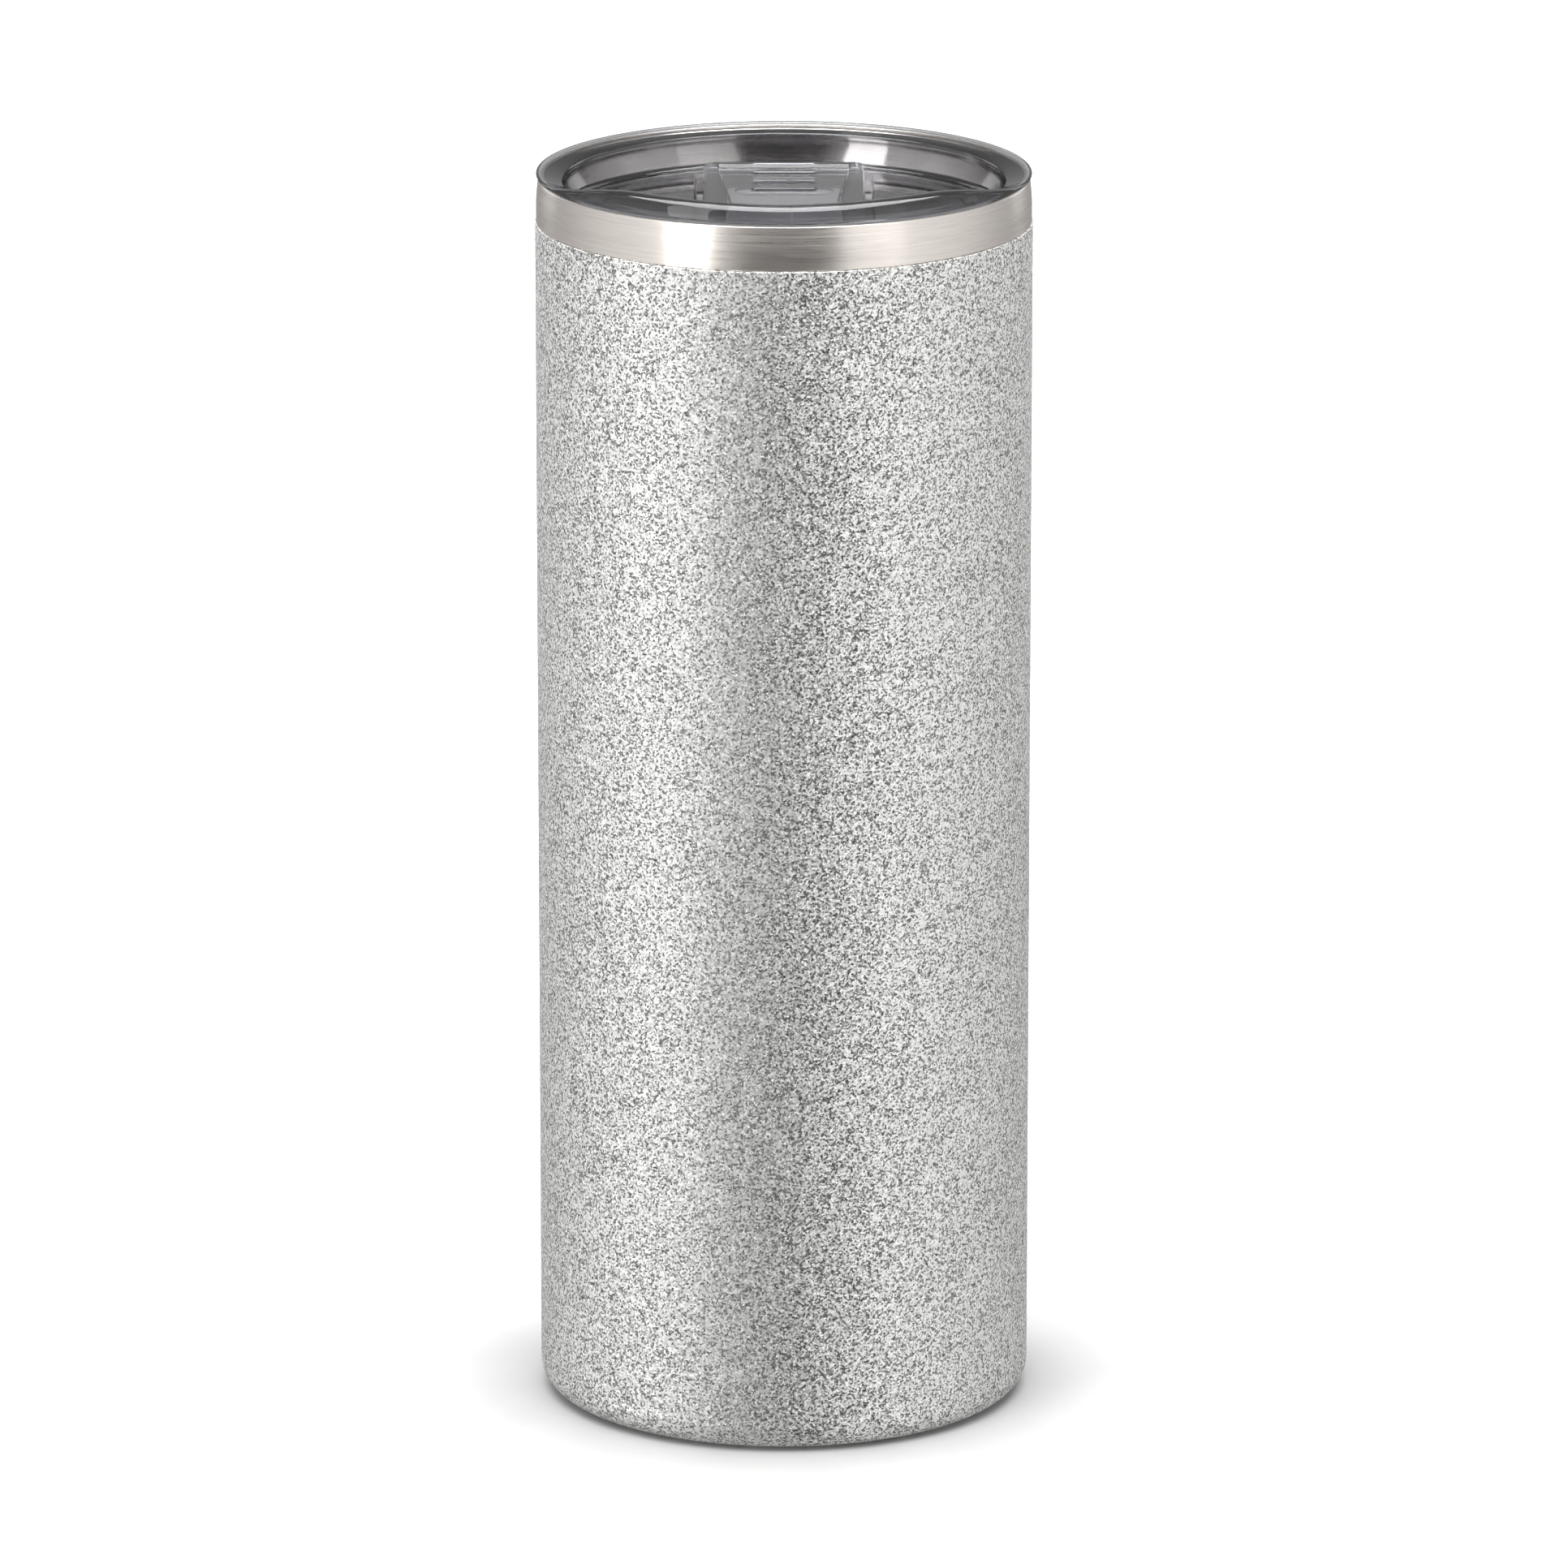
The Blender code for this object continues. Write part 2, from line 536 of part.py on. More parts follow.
def make_slider(finishes):
    slider = extruded("slider", slider_outline(), SLIDER_BOTTOM, SLIDER_TOP, finishes["slider"])
    tray_floor = SLIDER_TOP - TRAY_DEPTH
    tray = [(TRAY_REAR_HALF, TRAY_REAR), (-TRAY_REAR_HALF, TRAY_REAR),
            (-TRAY_FRONT_HALF, TRAY_FRONT), (TRAY_FRONT_HALF, TRAY_FRONT)]
    boolean(slider, extruded("tray_cut", tray, tray_floor, SLIDER_TOP + MM))

    sheet_bottom = FLOOR_TOP + GAP
    sheet_top = sheet_bottom + SEAL_SHEET
    pocket_top = sheet_top + GAP
    boolean(slider, extruded("seal_pocket", seal_outline(GAP), SLIDER_BOTTOM - MM, pocket_top))
    boss_pocket = stadium(BOSS_CENTRE, BOSS_LENGTH + 2 * GAP, BOSS_WIDTH + 2 * GAP)
    boss_top = tray_floor - BOSS_COVER - GAP
    boolean(slider, extruded("boss_pocket", boss_pocket, SLIDER_BOTTOM, boss_top + GAP))

    ridge_top = SLIDER_TOP - RIDGE_DROP
    for step in range(RIDGE_COUNT):
        place = RIDGE_FIRST + step * RIDGE_PITCH
        bar = stadium(place, RIDGE_LENGTH, RIDGE_WIDTH, steps=4)
        ridge = extruded(f"ridge_{step + 1}", bar, tray_floor - RIDGE_ROOT, ridge_top)
        boolean(slider, ridge, "UNION")

    plate_top = FLOOR_TOP - FLOOR_WALL - GAP
    plate_bottom = plate_top - RETAINER_WALL
    head_top = plate_bottom - GAP
    head_bottom = head_top - HEAD_HEIGHT
    stem = rounded_rectangle(STEM_HALF_WIDTH, STEM_FRONT, STEM_REAR, STEM_CORNER, steps=3)
    boolean(slider, extruded("stem", stem, head_bottom + STEM_FOOT, pocket_top + STEM_ROOT), "UNION")
    head = rounded_rectangle(STEM_HALF_WIDTH + HEAD_GROW, STEM_FRONT - HEAD_GROW,
                             STEM_REAR + HEAD_GROW, HEAD_CORNER, steps=3)
    boolean(slider, extruded("stem_head", head, head_bottom, head_top), "UNION")

    plate = rounded_rectangle(RETAINER_HALF_WIDTH, STEM_FRONT - RETAINER_REACH,
                              STEM_REAR + RETAINER_REACH, RETAINER_CORNER)
    retainer = extruded("slider_retainer", plate, plate_bottom, plate_top, finishes["slider"])
    hole = rounded_rectangle(STEM_HALF_WIDTH + GAP, STEM_FRONT - GAP,
                             STEM_REAR + GAP, RETAINER_HOLE_CORNER, steps=3)
    boolean(retainer, extruded("retainer_hole", hole, plate_bottom - MM, plate_top + MM))

    seal = extruded("slider_seal", seal_outline(0.0), sheet_bottom, sheet_top, finishes["silicone"])
    boss = stadium(BOSS_CENTRE, BOSS_LENGTH, BOSS_WIDTH)
    boolean(seal, extruded("seal_boss", boss, sheet_top - BOSS_ROOT, boss_top), "UNION")
    window = rounded_rectangle(STEM_HALF_WIDTH + SEAL_WINDOW_GAP, STEM_FRONT - SEAL_WINDOW_GAP,
                               STEM_REAR + SEAL_WINDOW_GAP, SEAL_WINDOW_CORNER, steps=3)
    boolean(seal, extruded("seal_window", window, sheet_bottom - MM, sheet_top + MM))


def main():
    clear_scene()
    finishes = make_materials()
    make_coat(finishes)
    make_shell(finishes)
    make_liner(finishes)
    make_base(finishes)
    make_lid(finishes)
    make_gasket(finishes)
    make_slider(finishes)


main()
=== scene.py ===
"""Looks of the insulated tumbler: fine surfaces, materials, studio and camera."""

import math

import bmesh
import bpy
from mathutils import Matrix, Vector


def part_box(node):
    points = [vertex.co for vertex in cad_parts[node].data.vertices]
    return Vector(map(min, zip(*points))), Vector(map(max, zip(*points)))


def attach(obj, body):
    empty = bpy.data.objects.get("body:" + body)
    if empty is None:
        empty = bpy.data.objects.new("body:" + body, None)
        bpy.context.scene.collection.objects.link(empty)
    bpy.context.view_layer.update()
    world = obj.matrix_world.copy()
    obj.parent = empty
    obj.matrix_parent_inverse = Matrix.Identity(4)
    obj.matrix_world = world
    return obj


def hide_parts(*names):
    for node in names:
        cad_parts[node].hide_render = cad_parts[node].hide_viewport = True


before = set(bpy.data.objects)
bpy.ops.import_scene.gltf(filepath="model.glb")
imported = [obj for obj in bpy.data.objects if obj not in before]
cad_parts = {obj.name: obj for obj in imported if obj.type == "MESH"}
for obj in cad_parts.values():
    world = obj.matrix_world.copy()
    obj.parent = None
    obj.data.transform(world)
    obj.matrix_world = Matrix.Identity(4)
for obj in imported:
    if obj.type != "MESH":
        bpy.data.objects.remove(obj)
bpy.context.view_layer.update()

MM = 0.001

# Places and sizes read from the frame
_, COAT_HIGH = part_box("glitter_coat")
_, SHELL_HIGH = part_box("outer_shell")
LINER_LOW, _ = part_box("inner_liner")
CAP_LOW, CAP_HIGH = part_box("base_cap")
LID_LOW, LID_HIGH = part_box("lid_body")
GASKET_LOW, GASKET_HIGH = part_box("lid_gasket")
SLIDER_LOW, SLIDER_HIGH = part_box("slider")
SEAL_LOW, SEAL_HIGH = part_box("slider_seal")
RETAINER_LOW, RETAINER_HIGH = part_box("slider_retainer")

GAP = 0.3 * MM                      # clearance between pieces that touch
CUT_PAST = 1.0 * MM                 # cutters reach this far past the piece

# Cup
BODY_RADIUS = COAT_HIGH.x
COAT_TOP = COAT_HIGH.z
COAT_WALL = 0.4 * MM
COAT_EDGE = 0.14 * MM
COAT_FOOT_ANGLE = math.radians(-80)  # the coat stops just short of the foot's flat ring
# Waves of the poured coat's upper edge: how many around the cup, phase, height in mm
COAT_WAVES = [(7, 1.0, 0.035), (19, 2.0, 0.025), (43, 0.0, 0.018)]
COAT_BOND = 0.03 * MM               # between the coat and the fine steel wall
BASE_CORNER = 3.95 * MM
RIM_TOP = SHELL_HIGH.z
BAND_RADIUS = SHELL_HIGH.x
RIM_RADIUS = BAND_RADIUS - 0.4 * MM
BAND_STRAIGHT_TOP = RIM_TOP - 3.9 * MM
BAND_DRAWN_TOP = RIM_TOP + 2.0 * MM  # the curve of the band would end above the rim
BAND_BOTTOM = COAT_TOP + 0.2 * MM
BAND_STEP_LOW = 0.3 * MM            # the step from the coated wall out to the band
BAND_STEP_HIGH = 0.12 * MM
BAND_STEP_IN = 0.1 * MM
BAND_JOG_TOP = 1.2 * MM             # the same step on the inside of the wall
BAND_JOG_BOTTOM = 0.6 * MM
BAND_JOG_IN = 0.1 * MM
SHELL_WALL = 0.5 * MM
RIM_EDGE = 0.2 * MM
RIM_ROLL = 0.22 * MM                # how far the fine rim rolls up under the lid
RIM_ROLL_START = math.radians(10)
RIM_ROLL_END = math.radians(160)
RIM_INSIDE_DROP = 0.4 * MM
FOOT_INNER = 28.0 * MM
FOOT_LAND = 0.3 * MM
FOOT_CORNER_START = math.radians(-82)
LINER_RADIUS = 33.6 * MM
LINER_WALL = 0.4 * MM
LINER_FLOOR = LINER_LOW.z + LINER_WALL
LINER_CORNER = 7.0 * MM
MOUTH_RADIUS = 34.95 * MM
FLARE_START = RIM_TOP - 9.4 * MM
FLARE_THINNER = 0.02 * MM
MOUTH_EDGE = RIM_TOP - 0.8 * MM
# Turned sections in mm. The pressed floor of the liner: out from the axis, up from LINER_FLOOR
LINER_FLOOR_SECTION = [(0.0, 0.25), (12.0, 0.25), (12.6, 0.125), (13.2, 0.0), (20.0, 0.0)]
# The liner's lip: out from MOUTH_RADIUS, up from MOUTH_EDGE
LINER_LIP_SECTION = [(0.08, 0.18), (0.24, 0.25)]
# The underside of the base cap: out from the axis, up from its lowest face
CAP_SECTION = [
    (0.0, 0.12), (17.0, 0.12), (17.8, 0.072), (18.6, 0.0),
    (19.4, 0.0), (20.2, 0.12), (20.8, 0.12), (21.6, 0.0),
]
CAP_EDGE = 0.25 * MM
CAP_BEVEL = 0.08 * MM

# Lid
LID_RADIUS = LID_HIGH.x
LID_EDGE = RIM_TOP + 0.9 * MM
SKIRT_BOTTOM = LID_LOW.z
FLOOR_TOP = LID_EDGE - 6.0 * MM
FLOOR_UNDER = FLOOR_TOP - 2.2 * MM
FLOOR_FILLET = 0.5 * MM             # between the floor's underside and the skirt
RECESS_RADIUS = 32.6 * MM
RECESS_FILLET = 0.9 * MM
SKIRT_INNER = 30.6 * MM
SKIRT_OUTER = 32.9 * MM
SKIRT_EDGE = 0.3 * MM
SKIRT_LEDGE = 0.2 * MM              # ledge above the groove, which backs the gasket
GROOVE_RADIUS = 32.0 * MM
GROOVE_BOTTOM = SKIRT_BOTTOM + 1.2 * MM
GROOVE_TOP = SKIRT_BOTTOM + 4.2 * MM
SKIRT_FLARE_START = GROOVE_TOP + 1.2 * MM
# Underside of the ring over the rim, in mm: out from MOUTH_RADIUS, up from RIM_TOP
RING_SEAT_SECTION = [(0.0, -0.23), (0.35, 0.1), (0.7, 0.26), (1.05, 0.3)]
LIP_DIP = 0.35 * MM                 # the drinking lip is a little lower in its middle
LIP_DIP_ANGLE = math.radians(20)
LIP_FULL = math.radians(38)         # lip at full height up to this angle from the front
LIP_END = math.radians(80)
# Rim sections in mm, from the outer underside to the recess wall:
# inwards from LID_RADIUS, upwards from LID_EDGE
PLAIN_RIM = [
    (0.27, -0.53), (0.07, -0.39), (0.0, -0.2), (0.1, -0.05), (0.37, 0.0),
    (1.57, -0.39), (2.67, -0.78), (3.57, -1.1), (3.85, -1.28), (3.97, -1.65),
]
RAISED_RIM = [
    (0.27, -0.53), (0.09, 0.0), (0.12, 0.75), (0.3, 1.7), (0.69, 2.17),
    (1.37, 2.47), (2.27, 2.5), (3.27, 2.33), (3.62, 2.1), (3.82, 1.65),
]
DIP_STEPS = 4                       # section points over which the dip fades in
RIM_STEPS = 4                       # finer points between two section points
SEAM_POINTS = 3                     # section points of the outer face, which carry the mould line
MOULD_LINE = math.radians(1.8)      # where the mould's halves meet on the lip
MOULD_LINE_HEIGHT = 0.05 * MM
MOULD_LINE_WIDTH = math.radians(0.12)
PAD_HEIGHT = 0.8 * MM
PAD_RADIUS = 27.2 * MM
PAD_SIDE = 13.2 * MM
PAD_CORNER = 1.4 * MM
PAD_ROOT = 0.6 * MM                 # how deep the pads reach into the floor
PAD_FLANK = 0.3 * MM                # straight flank above the root fillet
PAD_ROUND = 0.22 * MM
FLOOR_RING = PAD_RADIUS - 2.0 * MM
HOLE_ROUND = 0.25 * MM              # rounding where the pads and holes meet the floor
HOLE_ROUND_MIDDLE = 0.08 * MM
SLOT_INNER = 24.4 * MM
SLOT_OUTER = 29.8 * MM
SLOT_HALF_ANGLE = math.radians(16)
GUIDE_CLEARANCE = 0.4 * MM          # around the slider's stem
GUIDE_CORNER = 1.2 * MM

# Gasket: fins in mm, out from the skin and up from each fin's foot
GASKET_SKIN = SKIRT_OUTER - 0.05 * MM
FIN_COUNT = 2
FIN_FOOT = [(0.0, 0.2), (0.1, 0.3)]
FIN_TIP_HEIGHT = 0.68 * MM
FIN_TIP_RADIUS = 0.13 * MM
FIN_TIP_ANGLE = math.radians(80)
FIN_HEAD = [(0.1, 0.82), (0.0, 0.92)]

# Slider
TRAVEL = 8.6 * MM
SLIDER_HALF_WIDTH = SLIDER_HIGH.x
SLIDER_REAR = SLIDER_HIGH.y
SLIDER_TOP = SLIDER_HIGH.z
SLIDER_BOTTOM = FLOOR_TOP + 0.35 * MM
SLIDER_FRONT_RADIUS = 31.0 * MM
SLIDER_FRONT_CORNER = 1.2 * MM
SLIDER_CORNER = 1.6 * MM
SLIDER_LOW_ROUND = 0.15 * MM
SLIDER_HIGH_ROUND = 0.45 * MM
TRAY_FLOOR = SLIDER_TOP - 0.45 * MM
TRAY_REAR = 18.9 * MM
TRAY_FRONT = -10.0 * MM
TRAY_REAR_HALF = 10.1 * MM
TRAY_FRONT_HALF = 7.9 * MM
TRAY_CORNER = 0.7 * MM
# The tray's rounded sides in mm: growth of its outline, height over its floor and over the top
TRAY_LOW_SIDE = [(-0.55, 0.0), (-0.32, 0.06), (-0.18, 0.2)]
TRAY_HIGH_SIDE = [(-0.06, -0.08), (0.06, 0.0), (0.25, 0.5)]
RIDGE_FIRST = 2.6 * MM
RIDGE_PITCH = 6.0 * MM
RIDGE_COUNT = 3
RIDGE_LENGTH = 9.8 * MM
RIDGE_WIDTH = 1.5 * MM
RIDGE_ROOT = 0.2 * MM
RIDGE_DROP = 0.05 * MM              # ridge tops lie just under the slider's top
RIDGE_ROUND = 0.32 * MM
STEM_HALF_WIDTH = 1.5 * MM
STEM_FRONT = -14.0 * MM
STEM_REAR = -8.0 * MM
STEM_CORNER = 0.8 * MM
STEM_OVERLAP = 0.4 * MM
HEAD_GROW = 1.0 * MM
HEAD_CORNER = 1.2 * MM
HEAD_LOW_ROUND = 0.25 * MM
HEAD_HIGH_ROUND = 0.08 * MM
RETAINER_HALF_WIDTH = 5.5 * MM
RETAINER_CORNER = 2.0 * MM
RETAINER_ROUND = 0.2 * MM
RETAINER_HOLE_CORNER = 1.0 * MM

# Seal under the slider, with the boss that shows through the tray
SEAL_HALF_WIDTH = SEAL_HIGH.x
SEAL_REAR = 6.4 * MM
SEAL_TOP = SEAL_LOW.z + 0.9 * MM
SEAL_INSET = 0.9 * MM               # behind the slider's front end
SEAL_CORNER = 0.8 * MM
SEAL_ROUND = 0.25 * MM
SEAL_WINDOW_GAP = 0.5 * MM          # around the slider's stem
SEAL_WINDOW_CORNER = 1.2 * MM
POCKET_ROUND = 0.2 * MM
BOSS_CENTRE = 3.2 * MM
BOSS_LENGTH = 14.0 * MM
BOSS_WIDTH = 3.8 * MM
BOSS_COVER = 0.6 * MM               # tray floor left above the boss's pocket
BOSS_POCKET_ROUND = 0.3 * MM
BOSS_ROOT = 0.4 * MM
BOSS_ROUND = 0.35 * MM

# Materials
FLAKES_PER_METRE = 3700.0
SMALL_FLAKES_PER_METRE = 6600.0
NOISE_LOW = 0.3                     # noise lies mostly between these two values
NOISE_HIGH = 0.7
# Noise cells per metre along X, Y and Z; far more along Z draws streaks around the axis
FINE_STREAKS = (240.0, 240.0, 11000.0)
BROAD_STREAKS = (60.0, 60.0, 3200.0)
ROLLED_GRAIN = (120.0, 4200.0, 1200.0)

# Studio and camera, azimuths in degrees from the front, positive to the right
FLOOR_SIZE = 24.0
PAINTED_FOOT_SHADOW_START = 34.0 * MM        # the paper's glow fades out from here to the foot, which paints its contact shadow
PAINTED_FOOT_SHADOW_END = 52.0 * MM
BACKDROP_DISTANCE = 0.6
# Brightness of the room by azimuth, and what is added by steepness upwards
ROOM_AROUND = [
    (0, 0.07), (19, 0.1), (32, 0.6), (60, 1.1),
    (90, 0.92), (120, 0.58), (150, 0.32), (180, 0.45),
]
ROOM_ABOVE = [(0.0, 0.0), (0.5, 0.35), (1.0, 0.5)]
ROOM_ABOVE_START = 0.5
LAMP_AIM_HEIGHT = 0.12
# Name, azimuth, elevation, distance, width, height and radiance
LAMPS = [
    ("key_left", -44, 18, 0.95, 0.34, 1.1, 3.0),
    ("key_right", 41, 12, 0.95, 0.52, 1.1, 0.5),
    ("overhead", 0, 88, 1.1, 1.3, 1.25, 8.5),
    ("front_top", 0, 60, 0.9, 0.7, 0.25, 2.2),
    ("rear_left", -140, 20, 1.2, 0.4, 0.9, 1.1),
    ("rear_right", 140, 20, 1.2, 0.4, 0.9, 1.1),
]
VIEW_ELEVATION = 15.05
VIEW_DISTANCE = 1.674
VIEW_HEIGHT = 0.0931
LENS = 257.0                        # millimetres, on a sensor SENSOR_WIDTH wide
SENSOR_WIDTH = 36.0

ROUND = 240                         # flats around a full turn of a visible piece
AXIS_RADIUS = 1e-7                  # points nearer than this lie on the axis
MERGE_DISTANCE = 1e-7
BOOLEAN_MERGE_DISTANCE = 2e-7
SHARP_ANGLE = math.radians(38)      # edges steeper than this are shaded as edges
FLAT_FACE_WEIGHT = 60               # how strongly large faces pull the shading normals
HALF_TURN = math.pi
QUARTER_TURN = math.pi / 2.0


# ---------------------------------------------------------------- shapes

def smoothstep(value, low, high):
    share = min(max((value - low) / (high - low), 0.0), 1.0)
    return share * share * (3.0 - 2.0 * share)


def arc(centre, radius, start, end, steps):
    return [
        (
            centre[0] + radius * math.cos(start + (end - start) * step / steps),
            centre[1] + radius * math.sin(start + (end - start) * step / steps),
        )
        for step in range(steps + 1)
    ]


def section(profile, radius, height):
    """A profile in mm, moved to a radius and a height."""
    return [(radius + out * MM, height + up * MM) for out, up in profile]


def smooth_run(points, steps):
    """A Catmull-Rom curve through the points, with extra points between each two."""
    run = []
    last = len(points) - 1
    for index in range(last):
        before = Vector(points[max(index - 1, 0)])
        start = Vector(points[index])
        end = Vector(points[index + 1])
        after = Vector(points[min(index + 2, last)])
        for step in range(steps):
            t = step / steps
            place = 0.5 * (
                2.0 * start + (end - before) * t
                + (2.0 * before - 5.0 * start + 4.0 * end - after) * t * t
                + (3.0 * start - before - 3.0 * end + after) * t ** 3
            )
            run.append((place.x, place.y))
    run.append(tuple(points[last]))
    return run


def rounded_rectangle(half_width, front, rear, corner, steps=6):
    points = []
    inner = half_width - corner
    centres = [
        (inner, rear - corner), (-inner, rear - corner),
        (-inner, front + corner), (inner, front + corner),
    ]
    for turn, centre in enumerate(centres):
        points += arc(centre, corner, turn * QUARTER_TURN, (turn + 1) * QUARTER_TURN, steps)
    return points


def stadium(centre_y, length, width, steps=12):
    radius = width / 2.0
    reach = length / 2.0 - radius
    right = arc((reach, centre_y), radius, -QUARTER_TURN, QUARTER_TURN, steps)
    left = arc((-reach, centre_y), radius, QUARTER_TURN, 1.5 * HALF_TURN, steps)
    return right + left


def grown(outline, amount):
    """The outline moved outwards by an amount, or inwards if it is negative."""
    count = len(outline)
    area = sum(
        outline[i][0] * outline[(i + 1) % count][1] - outline[(i + 1) % count][0] * outline[i][1]
        for i in range(count)
    )
    side = 1.0 if area > 0.0 else -1.0
    moved = []
    for index, place in enumerate(outline):
        here = Vector(place)
        before = (here - Vector(outline[index - 1])).normalized()
        after = (Vector(outline[(index + 1) % count]) - here).normalized()
        normal_before = Vector((before.y, -before.x)) * side
        normal_after = Vector((after.y, -after.x)) * side
        middle = (normal_before + normal_after).normalized()
        reach = amount / max(middle.dot(normal_after), 0.5)
        moved.append((here.x + middle.x * reach, here.y + middle.y * reach))
    return moved


def mesh_object(name, bm):
    bmesh.ops.remove_doubles(bm, verts=bm.verts, dist=MERGE_DISTANCE)
    bmesh.ops.recalc_face_normals(bm, faces=bm.faces)
    mesh = bpy.data.meshes.new(name)
    bm.to_mesh(mesh)
    bm.free()
    made = bpy.data.objects.new(name, mesh)
    bpy.context.scene.collection.objects.link(made)
    return made


def turned(name, outline, extra_angles=()):
    """A turned piece: outline is a closed loop of (radius, height) or a function of the angle."""
    angles = [2.0 * math.pi * step / ROUND for step in range(ROUND)]
    angles = sorted(set(angles) | set(extra_angles))
    bm = bmesh.new()
    rings = []
    axis_points = {}
    for angle in angles:
        points = outline(angle) if callable(outline) else outline
        ring = []
        for index, (radius, height) in enumerate(points):
            if radius < AXIS_RADIUS:
                if index not in axis_points:
                    axis_points[index] = bm.verts.new((0.0, 0.0, height))
                ring.append(axis_points[index])
            else:
                place = (radius * math.sin(angle), -radius * math.cos(angle), height)
                ring.append(bm.verts.new(place))
        rings.append(ring)
    for step, ring in enumerate(rings):
        following = rings[(step + 1) % len(rings)]
        for index, vert in enumerate(ring):
            after = (index + 1) % len(ring)
            corners = [vert, following[index], following[after], ring[after]]
            corners = list(dict.fromkeys(corners))
            if len(corners) > 2:
                bm.faces.new(corners)
    return mesh_object(name, bm)


def plate(name, outline, levels):
    """A closed plate whose outline grows and shrinks over its levels of (growth, height)."""
    bm = bmesh.new()
    rings = []
    for growth, height in levels:
        places = grown(outline, growth)
        rings.append([bm.verts.new((x, y, height)) for x, y in places])
    count = len(outline)
    for low, high in zip(rings, rings[1:]):
        for index in range(count):
            after = (index + 1) % count
            bm.faces.new([low[index], low[after], high[after], high[index]])
    bm.faces.new(rings[0])
    bm.faces.new(rings[-1])
    return mesh_object(name, bm)


def rounded_levels(bottom, top, low_round, high_round, steps=4):
    """Levels of a plate with quarter-round edges."""
    levels = [(0.0, bottom)]
    if low_round > 0.0:
        levels = arc((-low_round, bottom + low_round), low_round, -QUARTER_TURN, 0.0, steps)
    if high_round > 0.0:
        return levels + arc((-high_round, top - high_round), high_round, 0.0, QUARTER_TURN, steps)
    return levels + [(0.0, top)]


def combined(target, others):
    """Applies (piece, operation) pairs to the target as exact Booleans and removes those pieces."""
    for index, (other, operation) in enumerate(others):
        step = target.modifiers.new(f"step_{index}", "BOOLEAN")
        step.operation = operation
        step.solver = "EXACT"
        step.object = other
    bpy.context.view_layer.update()
    evaluated = target.evaluated_get(bpy.context.evaluated_depsgraph_get())
    mesh = bpy.data.meshes.new_from_object(evaluated)
    target.modifiers.clear()
    target.data = mesh
    for other, _ in others:
        bpy.data.objects.remove(other)
    bm = bmesh.new()
    bm.from_mesh(mesh)
    bmesh.ops.remove_doubles(bm, verts=bm.verts, dist=BOOLEAN_MERGE_DISTANCE)
    bmesh.ops.dissolve_degenerate(bm, edges=bm.edges, dist=BOOLEAN_MERGE_DISTANCE)
    bm.to_mesh(mesh)
    bm.free()


def placed(piece, body, finish, stands_for):
    """Finishes a piece: shading, material, the body it rides on and the CAD node it stands for."""
    mesh = piece.data
    mesh.shade_smooth()
    mesh.set_sharp_from_angle(angle=SHARP_ANGLE)
    mesh.materials.clear()
    mesh.materials.append(finish)
    normals = piece.modifiers.new("flat_faces_stay_flat", "WEIGHTED_NORMAL")
    normals.keep_sharp = True
    normals.weight = FLAT_FACE_WEIGHT
    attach(piece, body)
    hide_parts(stands_for)


# ---------------------------------------------------------------- materials

class Nodes:
    """Short names for the nodes of a material or of the world."""

    def __init__(self, tree):
        self.nodes = tree.nodes
        self.links = tree.links

    def feed(self, socket, value):
        """A number goes into the socket itself, anything else is linked to it."""
        if isinstance(value, (int, float)):
            socket.default_value = value
        else:
            self.links.new(value, socket)

    def spread(self, source, low, high, to_low, to_high):
        node = self.nodes.new("ShaderNodeMapRange")
        node.inputs["From Min"].default_value = low
        node.inputs["From Max"].default_value = high
        node.inputs["To Min"].default_value = to_low
        node.inputs["To Max"].default_value = to_high
        self.links.new(source, node.inputs["Value"])
        return node.outputs["Result"]

    def ramp(self, source, stops):
        node = self.nodes.new("ShaderNodeValToRGB")
        elements = node.color_ramp.elements
        while len(elements) < len(stops):
            elements.new(0.5)
        for element, (position, colour) in zip(elements, stops):
            element.position = position
            element.color = (*colour, 1.0)
        self.links.new(source, node.inputs["Fac"])
        return node.outputs["Color"]

    def maths(self, operation, first, second=0.0):
        node = self.nodes.new("ShaderNodeMath")
        node.operation = operation
        self.feed(node.inputs[0], first)
        self.feed(node.inputs[1], second)
        return node.outputs["Value"]

    def mixed(self, share, first, second, blend="MIX"):
        node = self.nodes.new("ShaderNodeMix")
        node.data_type = "RGBA"
        node.blend_type = blend
        factor, first_colour, second_colour = node.inputs[0], node.inputs[6], node.inputs[7]
        factor.default_value = share
        self.links.new(first, first_colour)
        self.links.new(second, second_colour)
        return node.outputs[2]


